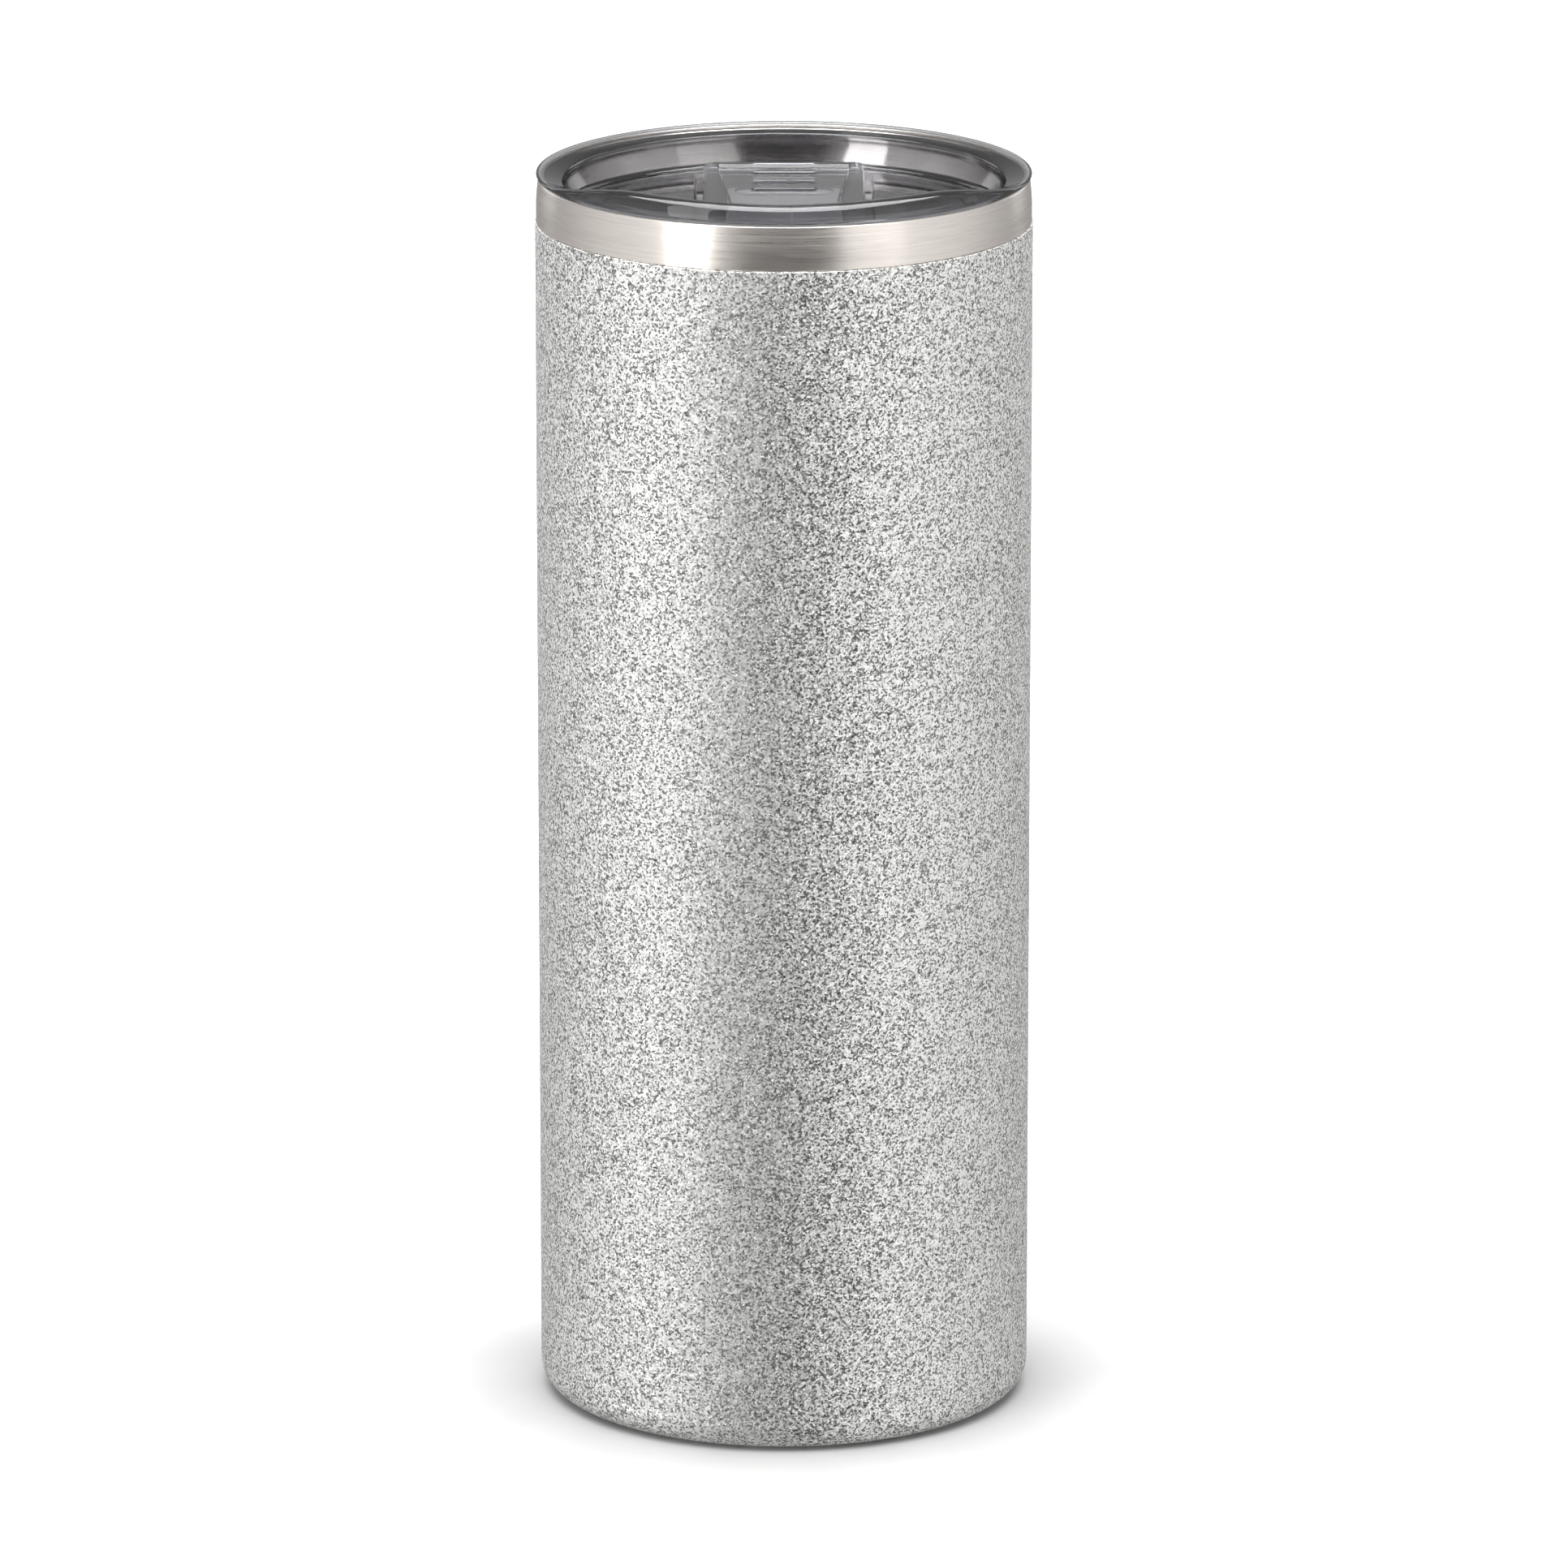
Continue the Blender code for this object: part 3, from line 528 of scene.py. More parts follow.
class Paint(Nodes):
    """A node material that starts from one Principled shader."""

    def __init__(self, name, colour, metallic, roughness):
        self.material = bpy.data.materials.new(name)
        self.material.use_nodes = True
        super().__init__(self.material.node_tree)
        self.shader = self.nodes["Principled BSDF"]
        self.set("Base Color", (*colour, 1.0))
        self.set("Metallic", metallic)
        self.set("Roughness", roughness)
        self.place = self.nodes.new("ShaderNodeTexCoord").outputs["Object"]

    def set(self, socket, value):
        self.shader.inputs[socket].default_value = value

    def join(self, source, socket):
        self.links.new(source, self.shader.inputs[socket])

    def stretched(self, scale):
        mapping = self.nodes.new("ShaderNodeMapping")
        mapping.inputs["Scale"].default_value = scale
        self.links.new(self.place, mapping.inputs["Vector"])
        return mapping.outputs["Vector"]

    def noise(self, scale, detail=2.0, roughness=0.5, vector=None):
        node = self.nodes.new("ShaderNodeTexNoise")
        node.inputs["Scale"].default_value = scale
        node.inputs["Detail"].default_value = detail
        node.inputs["Roughness"].default_value = roughness
        self.links.new(vector or self.place, node.inputs["Vector"])
        return node.outputs["Fac"]

    def streaks(self, scale, detail=3.0, roughness=0.6):
        return self.noise(1.0, detail, roughness, self.stretched(scale))

    def cells(self, scale):
        """Cells that each have a random colour, as a colour and as its separate channels."""
        node = self.nodes.new("ShaderNodeTexVoronoi")
        node.inputs["Scale"].default_value = scale
        self.links.new(self.place, node.inputs["Vector"])
        split = self.nodes.new("ShaderNodeSeparateColor")
        self.links.new(node.outputs["Color"], split.inputs["Color"])
        return node.outputs["Color"], split.outputs

    def between(self, noise, low, high):
        return self.spread(noise, NOISE_LOW, NOISE_HIGH, low, high)

    def toned(self, noise, dark, light):
        """Base colour that runs from dark to light with the noise."""
        self.join(self.ramp(noise, [(NOISE_LOW, dark), (NOISE_HIGH, light)]), "Base Color")

    def bump(self, height, strength, distance):
        node = self.nodes.new("ShaderNodeBump")
        node.inputs["Strength"].default_value = strength
        node.inputs["Distance"].default_value = distance
        self.links.new(height, node.inputs["Height"])
        self.join(node.outputs["Normal"], "Normal")

    def tilted(self, colour, amount):
        """The surface normal pushed a little way along a random colour."""
        geometry = self.nodes.new("ShaderNodeNewGeometry")
        centred = self.nodes.new("ShaderNodeVectorMath")
        centred.operation = "SUBTRACT"
        self.links.new(colour, centred.inputs[0])
        centred.inputs[1].default_value = (0.5, 0.5, 0.5)
        pushed = self.nodes.new("ShaderNodeVectorMath")
        pushed.operation = "MULTIPLY_ADD"
        self.links.new(centred.outputs["Vector"], pushed.inputs[0])
        pushed.inputs[1].default_value = (amount, amount, amount)
        self.links.new(geometry.outputs["Normal"], pushed.inputs[2])
        unit = self.nodes.new("ShaderNodeVectorMath")
        unit.operation = "NORMALIZE"
        self.links.new(pushed.outputs["Vector"], unit.inputs[0])
        return unit.outputs["Vector"]

    def clear_to_lamps(self, tint):
        """Lets lamp light through the plastic as tinted shadow instead of blocking it."""
        output = self.nodes["Material Output"]
        path = self.nodes.new("ShaderNodeLightPath")
        see_through = self.nodes.new("ShaderNodeBsdfTransparent")
        see_through.inputs["Color"].default_value = (*tint, 1.0)
        choice = self.nodes.new("ShaderNodeMixShader")
        self.links.new(path.outputs["Is Shadow Ray"], choice.inputs["Fac"])
        self.links.new(self.shader.outputs["BSDF"], choice.inputs[1])
        self.links.new(see_through.outputs["BSDF"], choice.inputs[2])
        self.links.new(choice.outputs["Shader"], output.inputs["Surface"])

    def absorbs(self, colour, density):
        """Thicker plastic looks darker."""
        depth = self.nodes.new("ShaderNodeVolumeAbsorption")
        depth.inputs["Color"].default_value = (*colour, 1.0)
        depth.inputs["Density"].default_value = density
        self.links.new(depth.outputs["Volume"], self.nodes["Material Output"].inputs["Volume"])


def glitter_finish():
    """Silver flakes of about a quarter millimetre at every tilt, in clear resin."""
    paint = Paint("glitter_resin", (0.6, 0.6, 0.59), metallic=0.8, roughness=0.4)
    colour, parts = paint.cells(FLAKES_PER_METRE)
    small_colour, small_parts = paint.cells(SMALL_FLAKES_PER_METRE)
    # Partly painted glints: the flakes' base colour runs from near black to white, which stands in for
    # flakes at different tilts catching or missing the lamps, on top of their own tone; their tilt is also
    # in the normal below.
    large_flake_tone_and_glint = paint.ramp(parts["Red"], [
        (0.0, (0.01, 0.01, 0.008)), (0.26, (0.09, 0.09, 0.08)),
        (0.46, (0.66, 0.66, 0.645)), (1.0, (1.0, 1.0, 0.985)),
    ])
    small_flake_tone_and_glint = paint.ramp(small_parts["Red"], [
        (0.0, (0.01, 0.01, 0.008)), (0.4, (0.5, 0.5, 0.485)), (1.0, (1.0, 1.0, 0.985)),
    ])
    paint.join(paint.mixed(0.3, large_flake_tone_and_glint, small_flake_tone_and_glint), "Base Color")
    paint.join(paint.spread(parts["Green"], 0.0, 1.0, 0.36, 0.6), "Roughness")
    paint.join(paint.tilted(paint.mixed(0.4, colour, small_colour), 0.6), "Normal")
    return paint.material


def steel_finish(name, colour, roughness, streak):
    """Steel brushed around the axis: fine streaks and a highlight drawn out along the axis."""
    paint = Paint(name, colour, metallic=1.0, roughness=roughness)
    fine = paint.streaks(FINE_STREAKS)
    broad = paint.streaks(BROAD_STREAKS, detail=2.0, roughness=0.5)
    both = paint.maths("ADD", paint.maths("MULTIPLY", fine, 0.6), paint.maths("MULTIPLY", broad, 0.4))
    dark = tuple(part * (1.0 - streak) for part in colour)
    light = tuple(min(part * (1.0 + streak), 1.0) for part in colour)
    paint.toned(both, dark, light)
    paint.join(paint.between(both, roughness * 0.82, roughness * 1.18), "Roughness")
    paint.set("Anisotropic", 0.9)
    paint.set("Anisotropic Rotation", 0.25)
    tangent = paint.nodes.new("ShaderNodeTangent")
    tangent.direction_type = "RADIAL"
    tangent.axis = "Z"
    paint.join(tangent.outputs["Tangent"], "Tangent")
    paint.bump(both, 0.05, 0.02 * MM)
    return paint.material


def plain_steel_finish():
    """Pressed steel of the base parts, with a fine rolled grain."""
    paint = Paint("pressed_steel", (0.58, 0.57, 0.55), metallic=1.0, roughness=0.36)
    grain = paint.streaks(ROLLED_GRAIN)
    cloud = paint.noise(160.0, detail=3.0, roughness=0.55)
    paint.toned(grain, (0.50, 0.49, 0.47), (0.64, 0.63, 0.61))
    paint.join(paint.between(cloud, 0.28, 0.46), "Roughness")
    paint.bump(grain, 0.15, 0.02 * MM)
    return paint.material


def smoke_finish(name, colour, roughness, shadow_tint, depth_colour, density):
    """Clear smoke-grey moulded plastic with faint flow marks."""
    paint = Paint(name, colour, metallic=0.0, roughness=roughness)
    paint.set("Transmission Weight", 1.0)
    paint.set("IOR", 1.49)
    flow = paint.noise(90.0)
    haze = paint.noise(700.0)
    dark = tuple(part * 0.94 for part in colour)
    light = tuple(min(part * 1.06, 1.0) for part in colour)
    paint.join(paint.ramp(flow, [(0.35, dark), (0.65, light)]), "Base Color")
    paint.join(paint.between(haze, roughness * 0.6, roughness * 1.4), "Roughness")
    paint.bump(flow, 0.08, 0.15 * MM)
    paint.clear_to_lamps(shadow_tint)
    paint.absorbs(depth_colour, density)
    return paint.material


def silicone_finish():
    """Frosted smoke-grey silicone."""
    paint = Paint("smoke_silicone", (0.15, 0.15, 0.155), metallic=0.0, roughness=0.34)
    paint.set("Transmission Weight", 0.6)
    paint.set("IOR", 1.42)
    cloud = paint.noise(420.0, detail=3.0, roughness=0.55)
    paint.toned(cloud, (0.12, 0.12, 0.125), (0.18, 0.18, 0.185))
    paint.join(paint.between(cloud, 0.28, 0.42), "Roughness")
    paint.bump(paint.noise(2600.0), 0.1, 0.02 * MM)
    return paint.material


def powder_finish(name, dark, light, metallic, roughness, scale):
    """Dull grainy surface of the hidden vacuum parts."""
    paint = Paint(name, light, metallic, roughness)
    grain = paint.noise(scale, detail=4.0, roughness=0.65)
    paint.toned(grain, dark, light)
    paint.join(paint.between(grain, roughness * 0.85, min(roughness * 1.15, 1.0)), "Roughness")
    paint.bump(grain, 0.4, 0.05 * MM)
    return paint.material


def make_finishes():
    return {
        "glitter": glitter_finish(),
        "steel": steel_finish("brushed_steel", (0.69, 0.645, 0.605), roughness=0.31, streak=0.13),
        "liner": steel_finish("spun_liner_steel", (0.70, 0.67, 0.645), roughness=0.13, streak=0.08),
        "pressed": plain_steel_finish(),
        "smoke": smoke_finish(
            "smoke_plastic", (0.95, 0.95, 0.96), roughness=0.015,
            shadow_tint=(0.96, 0.96, 0.96), depth_colour=(0.40, 0.40, 0.43), density=300.0),
        "slider": smoke_finish(
            "slider_smoke_plastic", (0.93, 0.93, 0.95), roughness=0.03,
            shadow_tint=(0.95, 0.95, 0.96), depth_colour=(0.46, 0.46, 0.49), density=180.0),
        "silicone": silicone_finish(),
        "getter": powder_finish(
            "getter_powder", (0.12, 0.115, 0.11), (0.30, 0.29, 0.28),
            metallic=0.7, roughness=0.6, scale=2200.0),
        "seal": powder_finish(
            "seal_glass_bead", (0.08, 0.08, 0.075), (0.2, 0.2, 0.19),
            metallic=0.1, roughness=0.28, scale=900.0),
    }


# ---------------------------------------------------------------- cup

def climb(bottom, top, steps):
    """Evenly spaced heights from the bottom to the top."""
    return [bottom + (top - bottom) * step / steps for step in range(steps + 1)]


def liner_inside(height):
    """Inner radius of the cup, flaring towards the mouth."""
    return LINER_RADIUS + (MOUTH_RADIUS - LINER_RADIUS) * smoothstep(height, FLARE_START, MOUTH_EDGE)


def band_radius(height):
    """Outer radius of the bare steel band, which draws in towards the rim."""
    drawn_in = smoothstep(height, BAND_STRAIGHT_TOP, BAND_DRAWN_TOP)
    return BAND_RADIUS - (BAND_RADIUS - RIM_RADIUS) * drawn_in


def coat_edge_wave(angle):
    """How far the poured coat's upper edge runs up or down around the cup."""
    return sum(height * math.sin(count * angle + phase) for count, phase, height in COAT_WAVES) * MM


def coat_outline(angle):
    centre = (BODY_RADIUS - BASE_CORNER, BASE_CORNER)
    top = COAT_TOP + coat_edge_wave(angle)
    outline = arc(centre, BASE_CORNER, COAT_FOOT_ANGLE, 0.0, steps=16)
    heights = climb(BASE_CORNER, COAT_TOP - COAT_EDGE, 24)[1:-1]
    outline += [(BODY_RADIUS, height) for height in heights]
    outline += arc((BODY_RADIUS - COAT_EDGE, top - COAT_EDGE), COAT_EDGE, 0.0, QUARTER_TURN, steps=4)
    outline.append((BODY_RADIUS - COAT_WALL, top))
    outline += arc(centre, BASE_CORNER - COAT_WALL, 0.0, COAT_FOOT_ANGLE, steps=16)
    return outline


def make_coat(finishes):
    coat = turned("glitter_coat_fine", coat_outline)
    placed(coat, "cup", finishes["glitter"], "glitter_coat")


def make_shell(finishes):
    under_coat = BODY_RADIUS - COAT_WALL - COAT_BOND
    centre = (BODY_RADIUS - BASE_CORNER, BASE_CORNER)
    corner = under_coat - centre[0]
    outline = [(FOOT_INNER, 0.0), (centre[0] + FOOT_LAND, 0.0)]
    outline += arc(centre, corner, FOOT_CORNER_START, 0.0, steps=14)
    outline.append((under_coat, COAT_TOP - BAND_STEP_LOW))
    outline.append((BAND_RADIUS - BAND_STEP_IN, COAT_TOP + BAND_STEP_HIGH))
    outline += [(band_radius(height), height) for height in climb(BAND_BOTTOM, RIM_TOP - RIM_EDGE, 14)]
    rim = band_radius(RIM_TOP)
    roll_centre = (rim - RIM_EDGE, RIM_TOP + RIM_ROLL - RIM_EDGE)
    outline += arc(roll_centre, RIM_EDGE, RIM_ROLL_START, RIM_ROLL_END, steps=8)
    outline.append((rim - SHELL_WALL, RIM_TOP - RIM_INSIDE_DROP))
    outline.append((BAND_RADIUS - SHELL_WALL - BAND_JOG_IN, BAND_BOTTOM + BAND_JOG_TOP))
    outline.append((under_coat - SHELL_WALL, BAND_BOTTOM - BAND_JOG_BOTTOM))
    outline += arc(centre, corner - SHELL_WALL, 0.0, -QUARTER_TURN, steps=14)
    outline.append((FOOT_INNER, centre[1] - corner + SHELL_WALL))
    shell = turned("outer_shell_fine", outline)
    placed(shell, "cup", finishes["steel"], "outer_shell")


def make_liner(finishes):
    centre = (LINER_RADIUS - LINER_CORNER, LINER_FLOOR + LINER_CORNER)
    inside = section(LINER_FLOOR_SECTION, 0.0, LINER_FLOOR)
    inside += arc(centre, LINER_CORNER, -QUARTER_TURN, 0.0, steps=16)
    heights = climb(FLARE_START, MOUTH_EDGE, 16)
    inside += [(liner_inside(height), height) for height in heights]
    lip = section(LINER_LIP_SECTION, MOUTH_RADIUS, MOUTH_EDGE)
    wall = LINER_WALL - FLARE_THINNER
    outside = [(liner_inside(height) + wall, height) for height in reversed(heights)]
    outside += arc(centre, LINER_CORNER + LINER_WALL, 0.0, -QUARTER_TURN, steps=16)
    outside.append((0.0, LINER_FLOOR - LINER_WALL))
    liner = turned("inner_liner_fine", inside + lip + outside)
    placed(liner, "cup", finishes["liner"], "inner_liner")


def make_cap(finishes):
    """The thin disc in the foot, with a pressed ring and a shallow dish."""
    low, high = CAP_LOW.z, CAP_HIGH.z
    radius = CAP_HIGH.x
    outline = section(CAP_SECTION, 0.0, low)
    outline += arc((radius - CAP_EDGE, low + CAP_EDGE), CAP_EDGE, -QUARTER_TURN, 0.0, steps=5)
    outline += [(radius, high - CAP_BEVEL), (radius - CAP_BEVEL, high), (0.0, high)]
    cap = turned("base_cap_fine", outline)
    placed(cap, "cup", finishes["pressed"], "base_cap")


# ---------------------------------------------------------------- lid

def lip_rise(angle):
    """Share of the drinking lip at an angle from the front, and how far its middle dips."""
    from_front = min(angle, 2.0 * math.pi - angle)
    share = 1.0 - smoothstep(from_front, LIP_FULL, LIP_END)
    dip = LIP_DIP * math.exp(-((from_front / LIP_DIP_ANGLE) ** 2))
    return share, dip


def lid_rim(angle):
    """Upper rim of the lid from its outer underside to the recess wall."""
    share, dip = lip_rise(angle)
    points = []
    for index, (low, high) in enumerate(zip(PLAIN_RIM, RAISED_RIM)):
        inward = low[0] + (high[0] - low[0]) * share
        upward = low[1] + (high[1] - low[1]) * share
        sunk = dip * min(index / DIP_STEPS, 1.0)
        points.append((LID_RADIUS - inward * MM, LID_EDGE + upward * MM - sunk))
    run = smooth_run(points, RIM_STEPS)
    seam = MOULD_LINE_HEIGHT * math.exp(-(((angle - MOULD_LINE) / MOULD_LINE_WIDTH) ** 2))
    outer = SEAM_POINTS * RIM_STEPS
    outer_face = [(radius + seam, height) for radius, height in run[:outer]]
    return outer_face + run[outer:]


def lid_outline(angle):
    foot = SKIRT_BOTTOM + SKIRT_EDGE
    outline = arc((SKIRT_INNER + SKIRT_EDGE, foot), SKIRT_EDGE, HALF_TURN, 1.5 * HALF_TURN, steps=4)
    outline += arc((SKIRT_OUTER - SKIRT_EDGE, foot), SKIRT_EDGE, -QUARTER_TURN, 0.0, steps=4)
    outline += [
        (SKIRT_OUTER, GROOVE_BOTTOM), (GROOVE_RADIUS, GROOVE_BOTTOM),
        (GROOVE_RADIUS, GROOVE_TOP), (SKIRT_OUTER + SKIRT_LEDGE, GROOVE_TOP),
    ]
    heights = climb(SKIRT_FLARE_START, MOUTH_EDGE, 10)
    outline += [(liner_inside(height) - GAP, height) for height in heights]
    outline += section(RING_SEAT_SECTION, MOUTH_RADIUS, RIM_TOP)
    outline += lid_rim(angle)
    recess_centre = (RECESS_RADIUS - RECESS_FILLET, FLOOR_TOP + RECESS_FILLET)
    outline += arc(recess_centre, RECESS_FILLET, 0.0, -QUARTER_TURN, steps=8)
    outline += [(FLOOR_RING, FLOOR_TOP), (0.0, FLOOR_TOP), (0.0, FLOOR_UNDER)]
    under_centre = (SKIRT_INNER - FLOOR_FILLET, FLOOR_UNDER - FLOOR_FILLET)
    outline += arc(under_centre, FLOOR_FILLET, QUARTER_TURN, 0.0, steps=4)
    return outline


def pad_outline(side):
    """A raised guide: a straight side along the slider and an arc about the lid's axis."""
    inset = PAD_RADIUS - PAD_CORNER
    centre_x = PAD_SIDE + PAD_CORNER
    centre_y = math.sqrt(inset * inset - centre_x * centre_x)
    turn = math.atan2(centre_y, centre_x)
    points = arc((0.0, 0.0), PAD_RADIUS, -turn, turn, steps=40)[1:-1]
    points += arc((centre_x, centre_y), PAD_CORNER, turn, HALF_TURN, steps=12)
    points += arc((centre_x, -centre_y), PAD_CORNER, -HALF_TURN, -turn, steps=12)
    if side > 0:
        return points
    return [(-x, y) for x, y in reversed(points)]


def drinking_slot_outline():
    """An arc about the lid's axis, with round ends."""
    middle = (SLOT_INNER + SLOT_OUTER) / 2.0
    end_radius = (SLOT_OUTER - SLOT_INNER) / 2.0
    right = -QUARTER_TURN + SLOT_HALF_ANGLE
    left = -QUARTER_TURN - SLOT_HALF_ANGLE
    right_centre = (middle * math.cos(right), middle * math.sin(right))
    left_centre = (middle * math.cos(left), middle * math.sin(left))
    points = arc((0.0, 0.0), SLOT_OUTER, left, right, steps=20)
    points += arc(right_centre, end_radius, right, right + HALF_TURN, steps=12)[1:-1]
    points += arc((0.0, 0.0), SLOT_INNER, right, left, steps=20)
    points += arc(left_centre, end_radius, left + HALF_TURN, left + 2.0 * HALF_TURN, steps=12)[1:-1]
    return points


def make_lid(finishes):
    seam_angles = [MOULD_LINE + MOULD_LINE_WIDTH * step / 2.0 for step in range(-4, 5)]
    lid = turned("lid_body_fine", lid_outline, seam_angles)
    steps = []
    fillet = arc((HOLE_ROUND, FLOOR_TOP + HOLE_ROUND), HOLE_ROUND, -QUARTER_TURN, -HALF_TURN, steps=3)
    root = [(HOLE_ROUND, FLOOR_TOP - PAD_ROOT)] + fillet
    crown = rounded_levels(FLOOR_TOP + PAD_FLANK, FLOOR_TOP + PAD_HEIGHT, 0.0, PAD_ROUND)
    for side, label in ((1, "right"), (-1, "left")):
        steps.append((plate("pad_" + label, pad_outline(side), root + crown), "UNION"))
    through = [
        (0.0, FLOOR_UNDER - CUT_PAST), (0.0, FLOOR_TOP - HOLE_ROUND),
        (HOLE_ROUND_MIDDLE, FLOOR_TOP - HOLE_ROUND_MIDDLE),
        (HOLE_ROUND, FLOOR_TOP), (HOLE_ROUND, FLOOR_TOP + CUT_PAST),
    ]
    steps.append((plate("slot_cutter", drinking_slot_outline(), through), "DIFFERENCE"))
    guide = rounded_rectangle(STEM_HALF_WIDTH + GUIDE_CLEARANCE, STEM_FRONT - GUIDE_CLEARANCE,
                              STEM_REAR + TRAVEL + GUIDE_CLEARANCE, GUIDE_CORNER)
    steps.append((plate("guide_cutter", guide, through), "DIFFERENCE"))
    combined(lid, steps)
    placed(lid, "lid", finishes["smoke"], "lid_body")


def make_gasket(finishes):
    root = GROOVE_RADIUS + GAP
    tip = GASKET_HIGH.x - FIN_TIP_RADIUS
    low, high = GASKET_LOW.z, GASKET_HIGH.z
    pitch = (high - low) / FIN_COUNT
    outline = [(root, low), (GASKET_SKIN, low)]
    for step in range(FIN_COUNT):
        foot = low + step * pitch
        outline += section(FIN_FOOT, GASKET_SKIN, foot)
        centre = (tip, foot + FIN_TIP_HEIGHT)
        outline += arc(centre, FIN_TIP_RADIUS, -FIN_TIP_ANGLE, FIN_TIP_ANGLE, steps=6)
        outline += section(FIN_HEAD, GASKET_SKIN, foot)
    outline += [(GASKET_SKIN, high), (root, high)]
    gasket = turned("lid_gasket_fine", outline)
    placed(gasket, "lid", finishes["silicone"], "lid_gasket")


# ---------------------------------------------------------------- slider

def slider_outline():
    """Straight sides, rounded rear corners and a front end that follows the recess."""
    corner = SLIDER_FRONT_CORNER
    inset = SLIDER_FRONT_RADIUS - corner
    corner_x = SLIDER_HALF_WIDTH - corner
    corner_y = -math.sqrt(inset * inset - corner_x * corner_x)
    turn = math.atan2(corner_y, corner_x)
    mirrored = -HALF_TURN - turn
    points = arc((0.0, 0.0), SLIDER_FRONT_RADIUS, mirrored, turn, steps=36)[1:-1]
    points += arc((corner_x, corner_y), corner, turn, 0.0, steps=6)
    inner = SLIDER_HALF_WIDTH - SLIDER_CORNER
    rear = SLIDER_REAR - SLIDER_CORNER
    points += arc((inner, rear), SLIDER_CORNER, 0.0, QUARTER_TURN, steps=10)
    points += arc((-inner, rear), SLIDER_CORNER, QUARTER_TURN, HALF_TURN, steps=10)
    points += arc((-corner_x, corner_y), corner, -HALF_TURN, mirrored, steps=6)
    return points


def tray_outline():
    """The thumb tray: wide at the rear, narrower at the front, with small corner radii."""
    rear_x = TRAY_REAR_HALF - TRAY_CORNER
    front_x = TRAY_FRONT_HALF - TRAY_CORNER
    rear_y = TRAY_REAR - TRAY_CORNER
    front_y = TRAY_FRONT + TRAY_CORNER
    lean = math.atan2(TRAY_REAR_HALF - TRAY_FRONT_HALF, TRAY_REAR - TRAY_FRONT)
    points = arc((rear_x, rear_y), TRAY_CORNER, -lean, QUARTER_TURN, steps=6)
    points += arc((-rear_x, rear_y), TRAY_CORNER, QUARTER_TURN, HALF_TURN + lean, steps=6)
    points += arc((-front_x, front_y), TRAY_CORNER, HALF_TURN + lean, 1.5 * HALF_TURN, steps=6)
    points += arc((front_x, front_y), TRAY_CORNER, -QUARTER_TURN, -lean, steps=6)
    return points


def seal_outline(grow):
    """The sheet seal under the slider; its front follows the slider's front."""
    half = SEAL_HALF_WIDTH + grow
    radius = SLIDER_FRONT_RADIUS - SEAL_INSET + grow
    reach = math.asin(half / radius)
    points = arc((0.0, 0.0), radius, -QUARTER_TURN - reach, -QUARTER_TURN + reach, steps=30)
    side = half - SEAL_CORNER
    rear = SEAL_REAR + grow - SEAL_CORNER
    points += arc((side, rear), SEAL_CORNER, 0.0, QUARTER_TURN, steps=6)
    points += arc((-side, rear), SEAL_CORNER, QUARTER_TURN, HALF_TURN, steps=6)
    return points


def make_slider(finishes):
    """The slider's plate with its tray, pockets, ridges and the stem through the lid's floor."""
    edges = rounded_levels(SLIDER_BOTTOM, SLIDER_TOP, SLIDER_LOW_ROUND, SLIDER_HIGH_ROUND, steps=6)
    body = plate("slider_fine", slider_outline(), edges)
    tray_levels = section(TRAY_LOW_SIDE, 0.0, TRAY_FLOOR) + section(TRAY_HIGH_SIDE, 0.0, SLIDER_TOP)
    steps = [(plate("tray_cutter", tray_outline(), tray_levels), "DIFFERENCE")]
    pocket_top = SEAL_TOP + GAP
    pocket = rounded_levels(SLIDER_BOTTOM - CUT_PAST, pocket_top, 0.0, POCKET_ROUND, steps=3)
    steps.append((plate("seal_pocket", seal_outline(GAP), pocket), "DIFFERENCE"))
    boss_pocket = stadium(BOSS_CENTRE, BOSS_LENGTH + 2 * GAP, BOSS_WIDTH + 2 * GAP)
    boss_levels = rounded_levels(SLIDER_BOTTOM, TRAY_FLOOR - BOSS_COVER, 0.0, BOSS_POCKET_ROUND)
    steps.append((plate("boss_pocket", boss_pocket, boss_levels), "DIFFERENCE"))
    ridge_top = SLIDER_TOP - RIDGE_DROP
    ridge_levels = rounded_levels(TRAY_FLOOR - RIDGE_ROOT, ridge_top, 0.0, RIDGE_ROUND, steps=5)
    for step in range(RIDGE_COUNT):
        bar = stadium(RIDGE_FIRST + step * RIDGE_PITCH, RIDGE_LENGTH, RIDGE_WIDTH)
        steps.append((plate(f"ridge_{step + 1}", bar, ridge_levels), "UNION"))
    head_top = RETAINER_LOW.z - GAP
    stem = rounded_rectangle(STEM_HALF_WIDTH, STEM_FRONT, STEM_REAR, STEM_CORNER)
    stem_levels = [(0.0, head_top - STEM_OVERLAP), (0.0, pocket_top + STEM_OVERLAP)]
    steps.append((plate("stem", stem, stem_levels), "UNION"))
    head = rounded_rectangle(STEM_HALF_WIDTH + HEAD_GROW, STEM_FRONT - HEAD_GROW,
                             STEM_REAR + HEAD_GROW, HEAD_CORNER)
    head_levels = rounded_levels(SLIDER_LOW.z, head_top, HEAD_LOW_ROUND, HEAD_HIGH_ROUND, steps=3)
    steps.append((plate("stem_head", head, head_levels), "UNION"))
    combined(body, steps)
    placed(body, "slider", finishes["slider"], "slider")


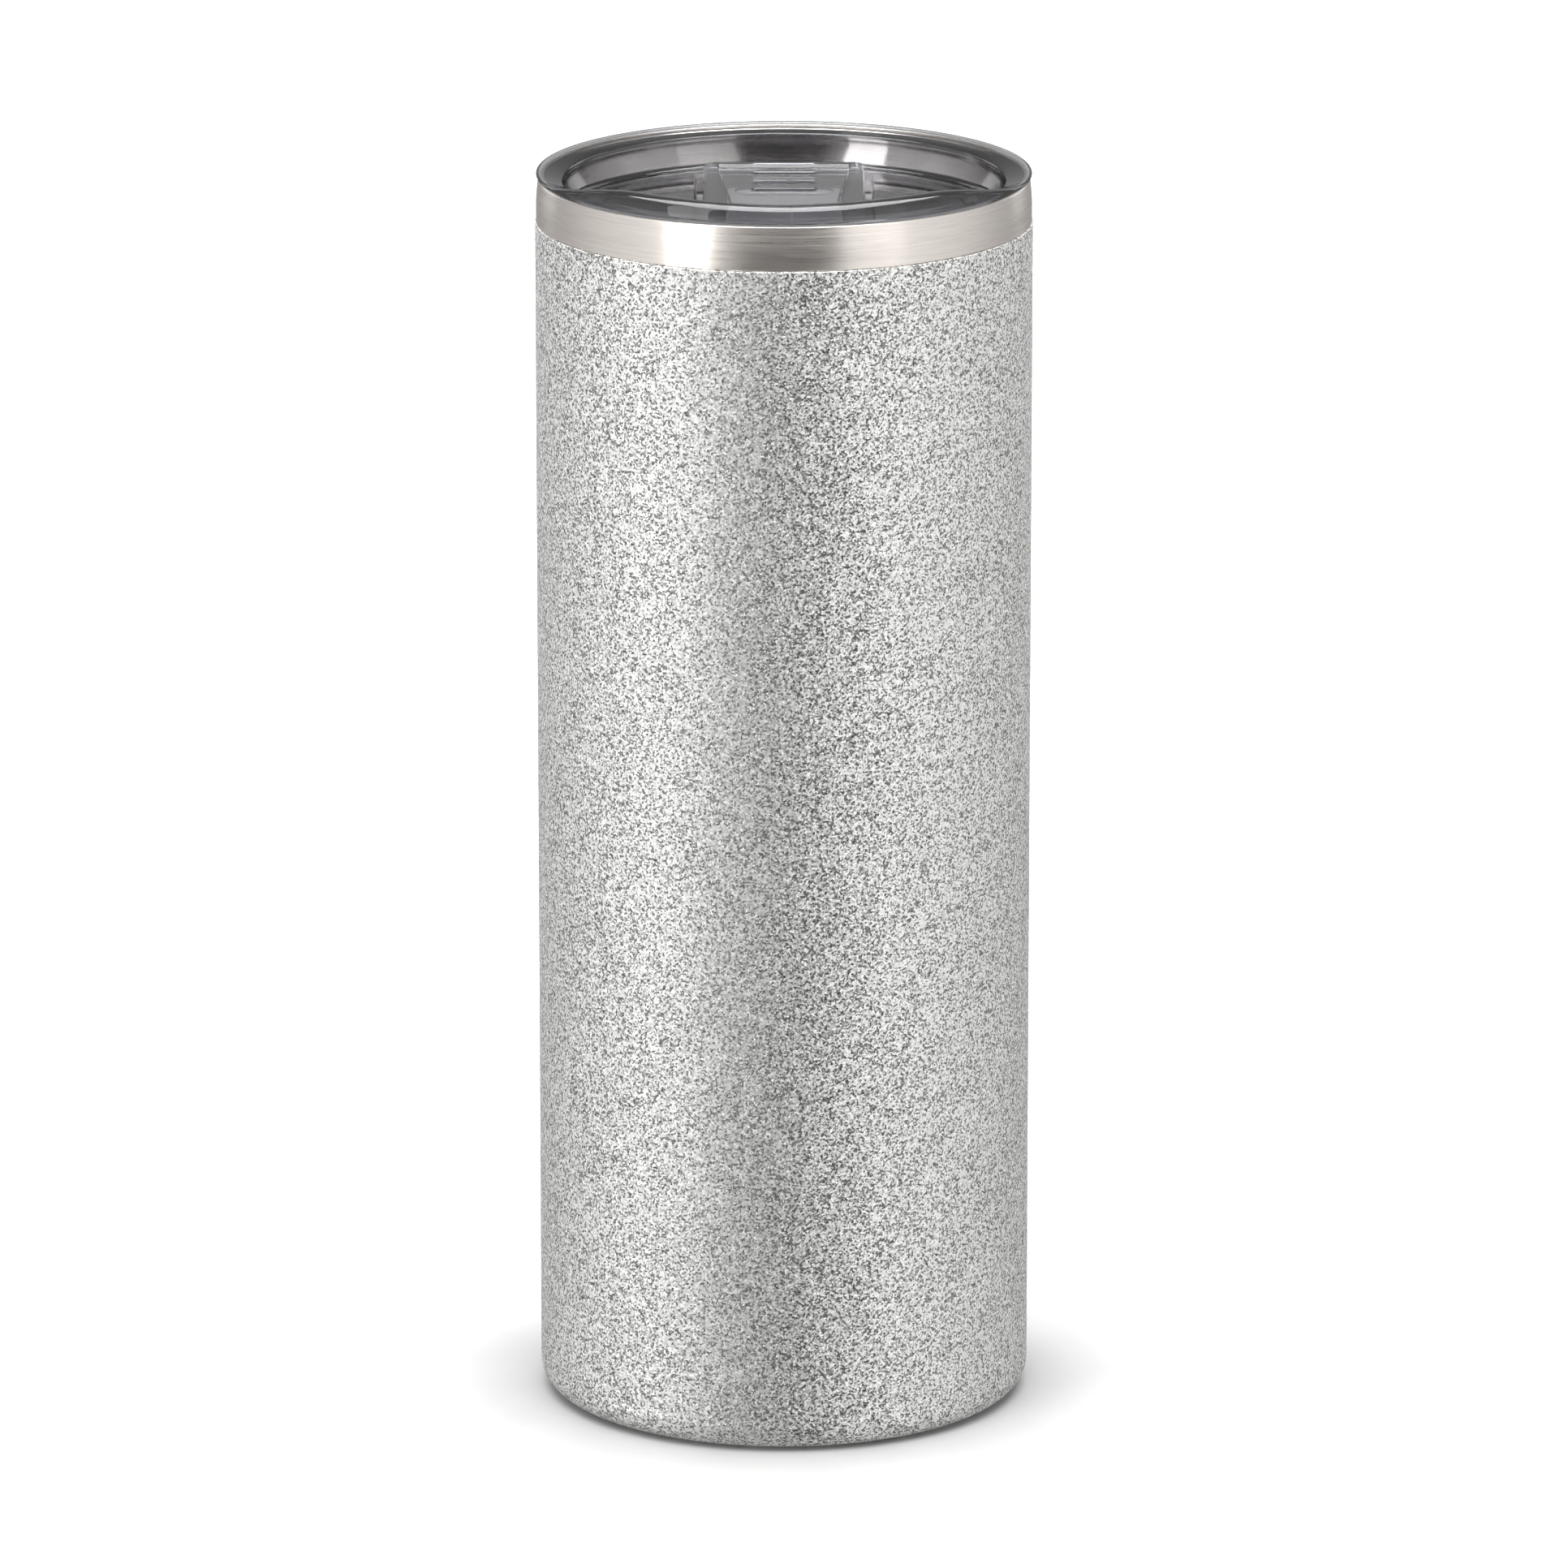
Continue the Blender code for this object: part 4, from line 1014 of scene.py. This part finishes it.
def make_retainer(finishes):
    outline = rounded_rectangle(RETAINER_HALF_WIDTH, RETAINER_LOW.y, RETAINER_HIGH.y, RETAINER_CORNER)
    levels = rounded_levels(RETAINER_LOW.z, RETAINER_HIGH.z, RETAINER_ROUND, RETAINER_ROUND)
    retainer = plate("slider_retainer_fine", outline, levels)
    hole = rounded_rectangle(STEM_HALF_WIDTH + GAP, STEM_FRONT - GAP, STEM_REAR + GAP, RETAINER_HOLE_CORNER)
    through = [(0.0, RETAINER_LOW.z - CUT_PAST), (0.0, RETAINER_HIGH.z + CUT_PAST)]
    combined(retainer, [(plate("retainer_hole", hole, through), "DIFFERENCE")])
    placed(retainer, "slider", finishes["slider"], "slider_retainer")


def make_seal(finishes):
    levels = rounded_levels(SEAL_LOW.z, SEAL_TOP, SEAL_ROUND, SEAL_ROUND)
    seal = plate("slider_seal_fine", seal_outline(0.0), levels)
    boss = stadium(BOSS_CENTRE, BOSS_LENGTH, BOSS_WIDTH)
    boss_levels = rounded_levels(SEAL_TOP - BOSS_ROOT, SEAL_HIGH.z, 0.0, BOSS_ROUND)
    window = rounded_rectangle(STEM_HALF_WIDTH + SEAL_WINDOW_GAP, STEM_FRONT - SEAL_WINDOW_GAP,
                               STEM_REAR + SEAL_WINDOW_GAP, SEAL_WINDOW_CORNER)
    through = [(0.0, SEAL_LOW.z - CUT_PAST), (0.0, SEAL_TOP + CUT_PAST)]
    combined(seal, [
        (plate("seal_boss", boss, boss_levels), "UNION"),
        (plate("seal_window", window, through), "DIFFERENCE"),
    ])
    placed(seal, "slider", finishes["silicone"], "slider_seal")


def paint_hidden_nodes(finishes):
    """The vacuum parts keep their CAD shapes and get materials of their own."""
    choices = {"outer_base": "pressed", "getter": "getter", "vacuum_seal": "seal"}
    for node, finish in choices.items():
        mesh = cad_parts[node].data
        mesh.materials.clear()
        mesh.materials.append(finishes[finish])


# ---------------------------------------------------------------- studio

def direction(azimuth, elevation):
    """Unit vector towards an azimuth from the front and an elevation, both in degrees."""
    turn = math.radians(azimuth)
    lift = math.radians(elevation)
    return Vector((math.sin(turn) * math.cos(lift), -math.cos(turn) * math.cos(lift), math.sin(lift)))


def softbox(name, azimuth, elevation, distance, width, height, radiance):
    """A rectangular lamp that faces the object, with its brightness given as radiance."""
    lamp = bpy.data.lights.new(name, "AREA")
    lamp.shape = "RECTANGLE"
    lamp.size = width
    lamp.size_y = height
    lamp.energy = radiance * math.pi * width * height
    made = bpy.data.objects.new(name, lamp)
    aim = Vector((0.0, 0.0, LAMP_AIM_HEIGHT))
    made.location = aim + direction(azimuth, elevation) * distance
    made.rotation_euler = (made.location - aim).to_track_quat("Z", "Y").to_euler()
    made.visible_camera = False
    bpy.context.scene.collection.objects.link(made)


def make_floor():
    """Pale paper that glows as if lit through from below, so that it stays white all round; the glow fades
    out near the foot, which paints a contact shadow there.
    """
    bpy.ops.mesh.primitive_grid_add(x_subdivisions=8, y_subdivisions=8, size=FLOOR_SIZE)
    floor = bpy.context.object
    floor.name = "studio_floor"
    paint = Paint("floor_paper", (0.3, 0.3, 0.3), metallic=0.0, roughness=0.9)
    paint.set("Specular IOR Level", 0.0)
    paint.set("Emission Color", (1.0, 1.0, 1.0, 1.0))
    paint.toned(paint.noise(60.0), (0.29, 0.29, 0.29), (0.31, 0.31, 0.31))
    length = paint.nodes.new("ShaderNodeVectorMath")
    length.operation = "LENGTH"
    paint.links.new(paint.place, length.inputs[0])
    distance = length.outputs["Value"]
    # Painted contact shadow: the paper's glow fades to nothing between these two radii from the axis, so
    # the paper darkens towards the foot.
    glow_with_painted_foot_shadow = paint.spread(distance, PAINTED_FOOT_SHADOW_START, PAINTED_FOOT_SHADOW_END, 0.0, 0.3)
    far = paint.spread(distance, PAINTED_FOOT_SHADOW_END, BACKDROP_DISTANCE, 0.0, 0.7)
    paint.join(paint.maths("ADD", glow_with_painted_foot_shadow, far), "Emission Strength")
    floor.data.materials.append(paint.material)
    floor.visible_glossy = False
    floor.visible_transmission = False


def make_world():
    """White to the camera; for lighting, a studio that is dark behind the camera and pale above."""
    world = bpy.data.worlds.new("studio")
    bpy.context.scene.world = world
    world.use_nodes = True
    room = Nodes(world.node_tree)
    nodes, links = room.nodes, room.links
    nodes.clear()
    place = nodes.new("ShaderNodeTexCoord")
    split = nodes.new("ShaderNodeSeparateXYZ")
    links.new(place.outputs["Generated"], split.inputs["Vector"])
    x, y, z = split.outputs

    turn = room.maths("ARCTAN2", x, room.maths("MULTIPLY", y, -1.0))
    from_front = room.maths("ABSOLUTE", turn)
    around_stops = [(degrees / 180.0, (level, level, level)) for degrees, level in ROOM_AROUND]
    around = room.ramp(room.spread(from_front, 0.0, math.pi, 0.0, 1.0), around_stops)
    above_stops = [(steepness, (level, level, level)) for steepness, level in ROOM_ABOVE]
    above = room.ramp(room.spread(z, ROOM_ABOVE_START, 1.0, 0.0, 1.0), above_stops)

    studio = nodes.new("ShaderNodeBackground")
    links.new(room.mixed(1.0, around, above, "ADD"), studio.inputs["Color"])
    white = nodes.new("ShaderNodeBackground")
    white.inputs["Color"].default_value = (1.0, 1.0, 1.0, 1.0)
    path = nodes.new("ShaderNodeLightPath")
    choice = nodes.new("ShaderNodeMixShader")
    output = nodes.new("ShaderNodeOutputWorld")
    links.new(path.outputs["Is Camera Ray"], choice.inputs["Fac"])
    links.new(studio.outputs["Background"], choice.inputs[1])
    links.new(white.outputs["Background"], choice.inputs[2])
    links.new(choice.outputs["Shader"], output.inputs["Surface"])


def make_studio():
    make_floor()
    make_world()
    for lamp in LAMPS:
        softbox(*lamp)


def make_camera():
    camera = bpy.data.cameras.new("camera")
    camera.lens = LENS
    camera.sensor_width = SENSOR_WIDTH
    made = bpy.data.objects.new("camera", camera)
    target = Vector((0.0, 0.0, VIEW_HEIGHT))
    made.location = target + direction(0.0, VIEW_ELEVATION) * VIEW_DISTANCE
    made.rotation_euler = (made.location - target).to_track_quat("Z", "Y").to_euler()
    camera.clip_start = 0.01
    camera.clip_end = 100.0
    bpy.context.scene.collection.objects.link(made)
    bpy.context.scene.camera = made
    bpy.context.scene.view_settings.view_transform = "Standard"


def main():
    finishes = make_finishes()
    make_coat(finishes)
    make_shell(finishes)
    make_liner(finishes)
    make_cap(finishes)
    make_lid(finishes)
    make_gasket(finishes)
    make_slider(finishes)
    make_retainer(finishes)
    make_seal(finishes)
    paint_hidden_nodes(finishes)
    make_studio()
    make_camera()


main()

bpy.context.view_layer.update()
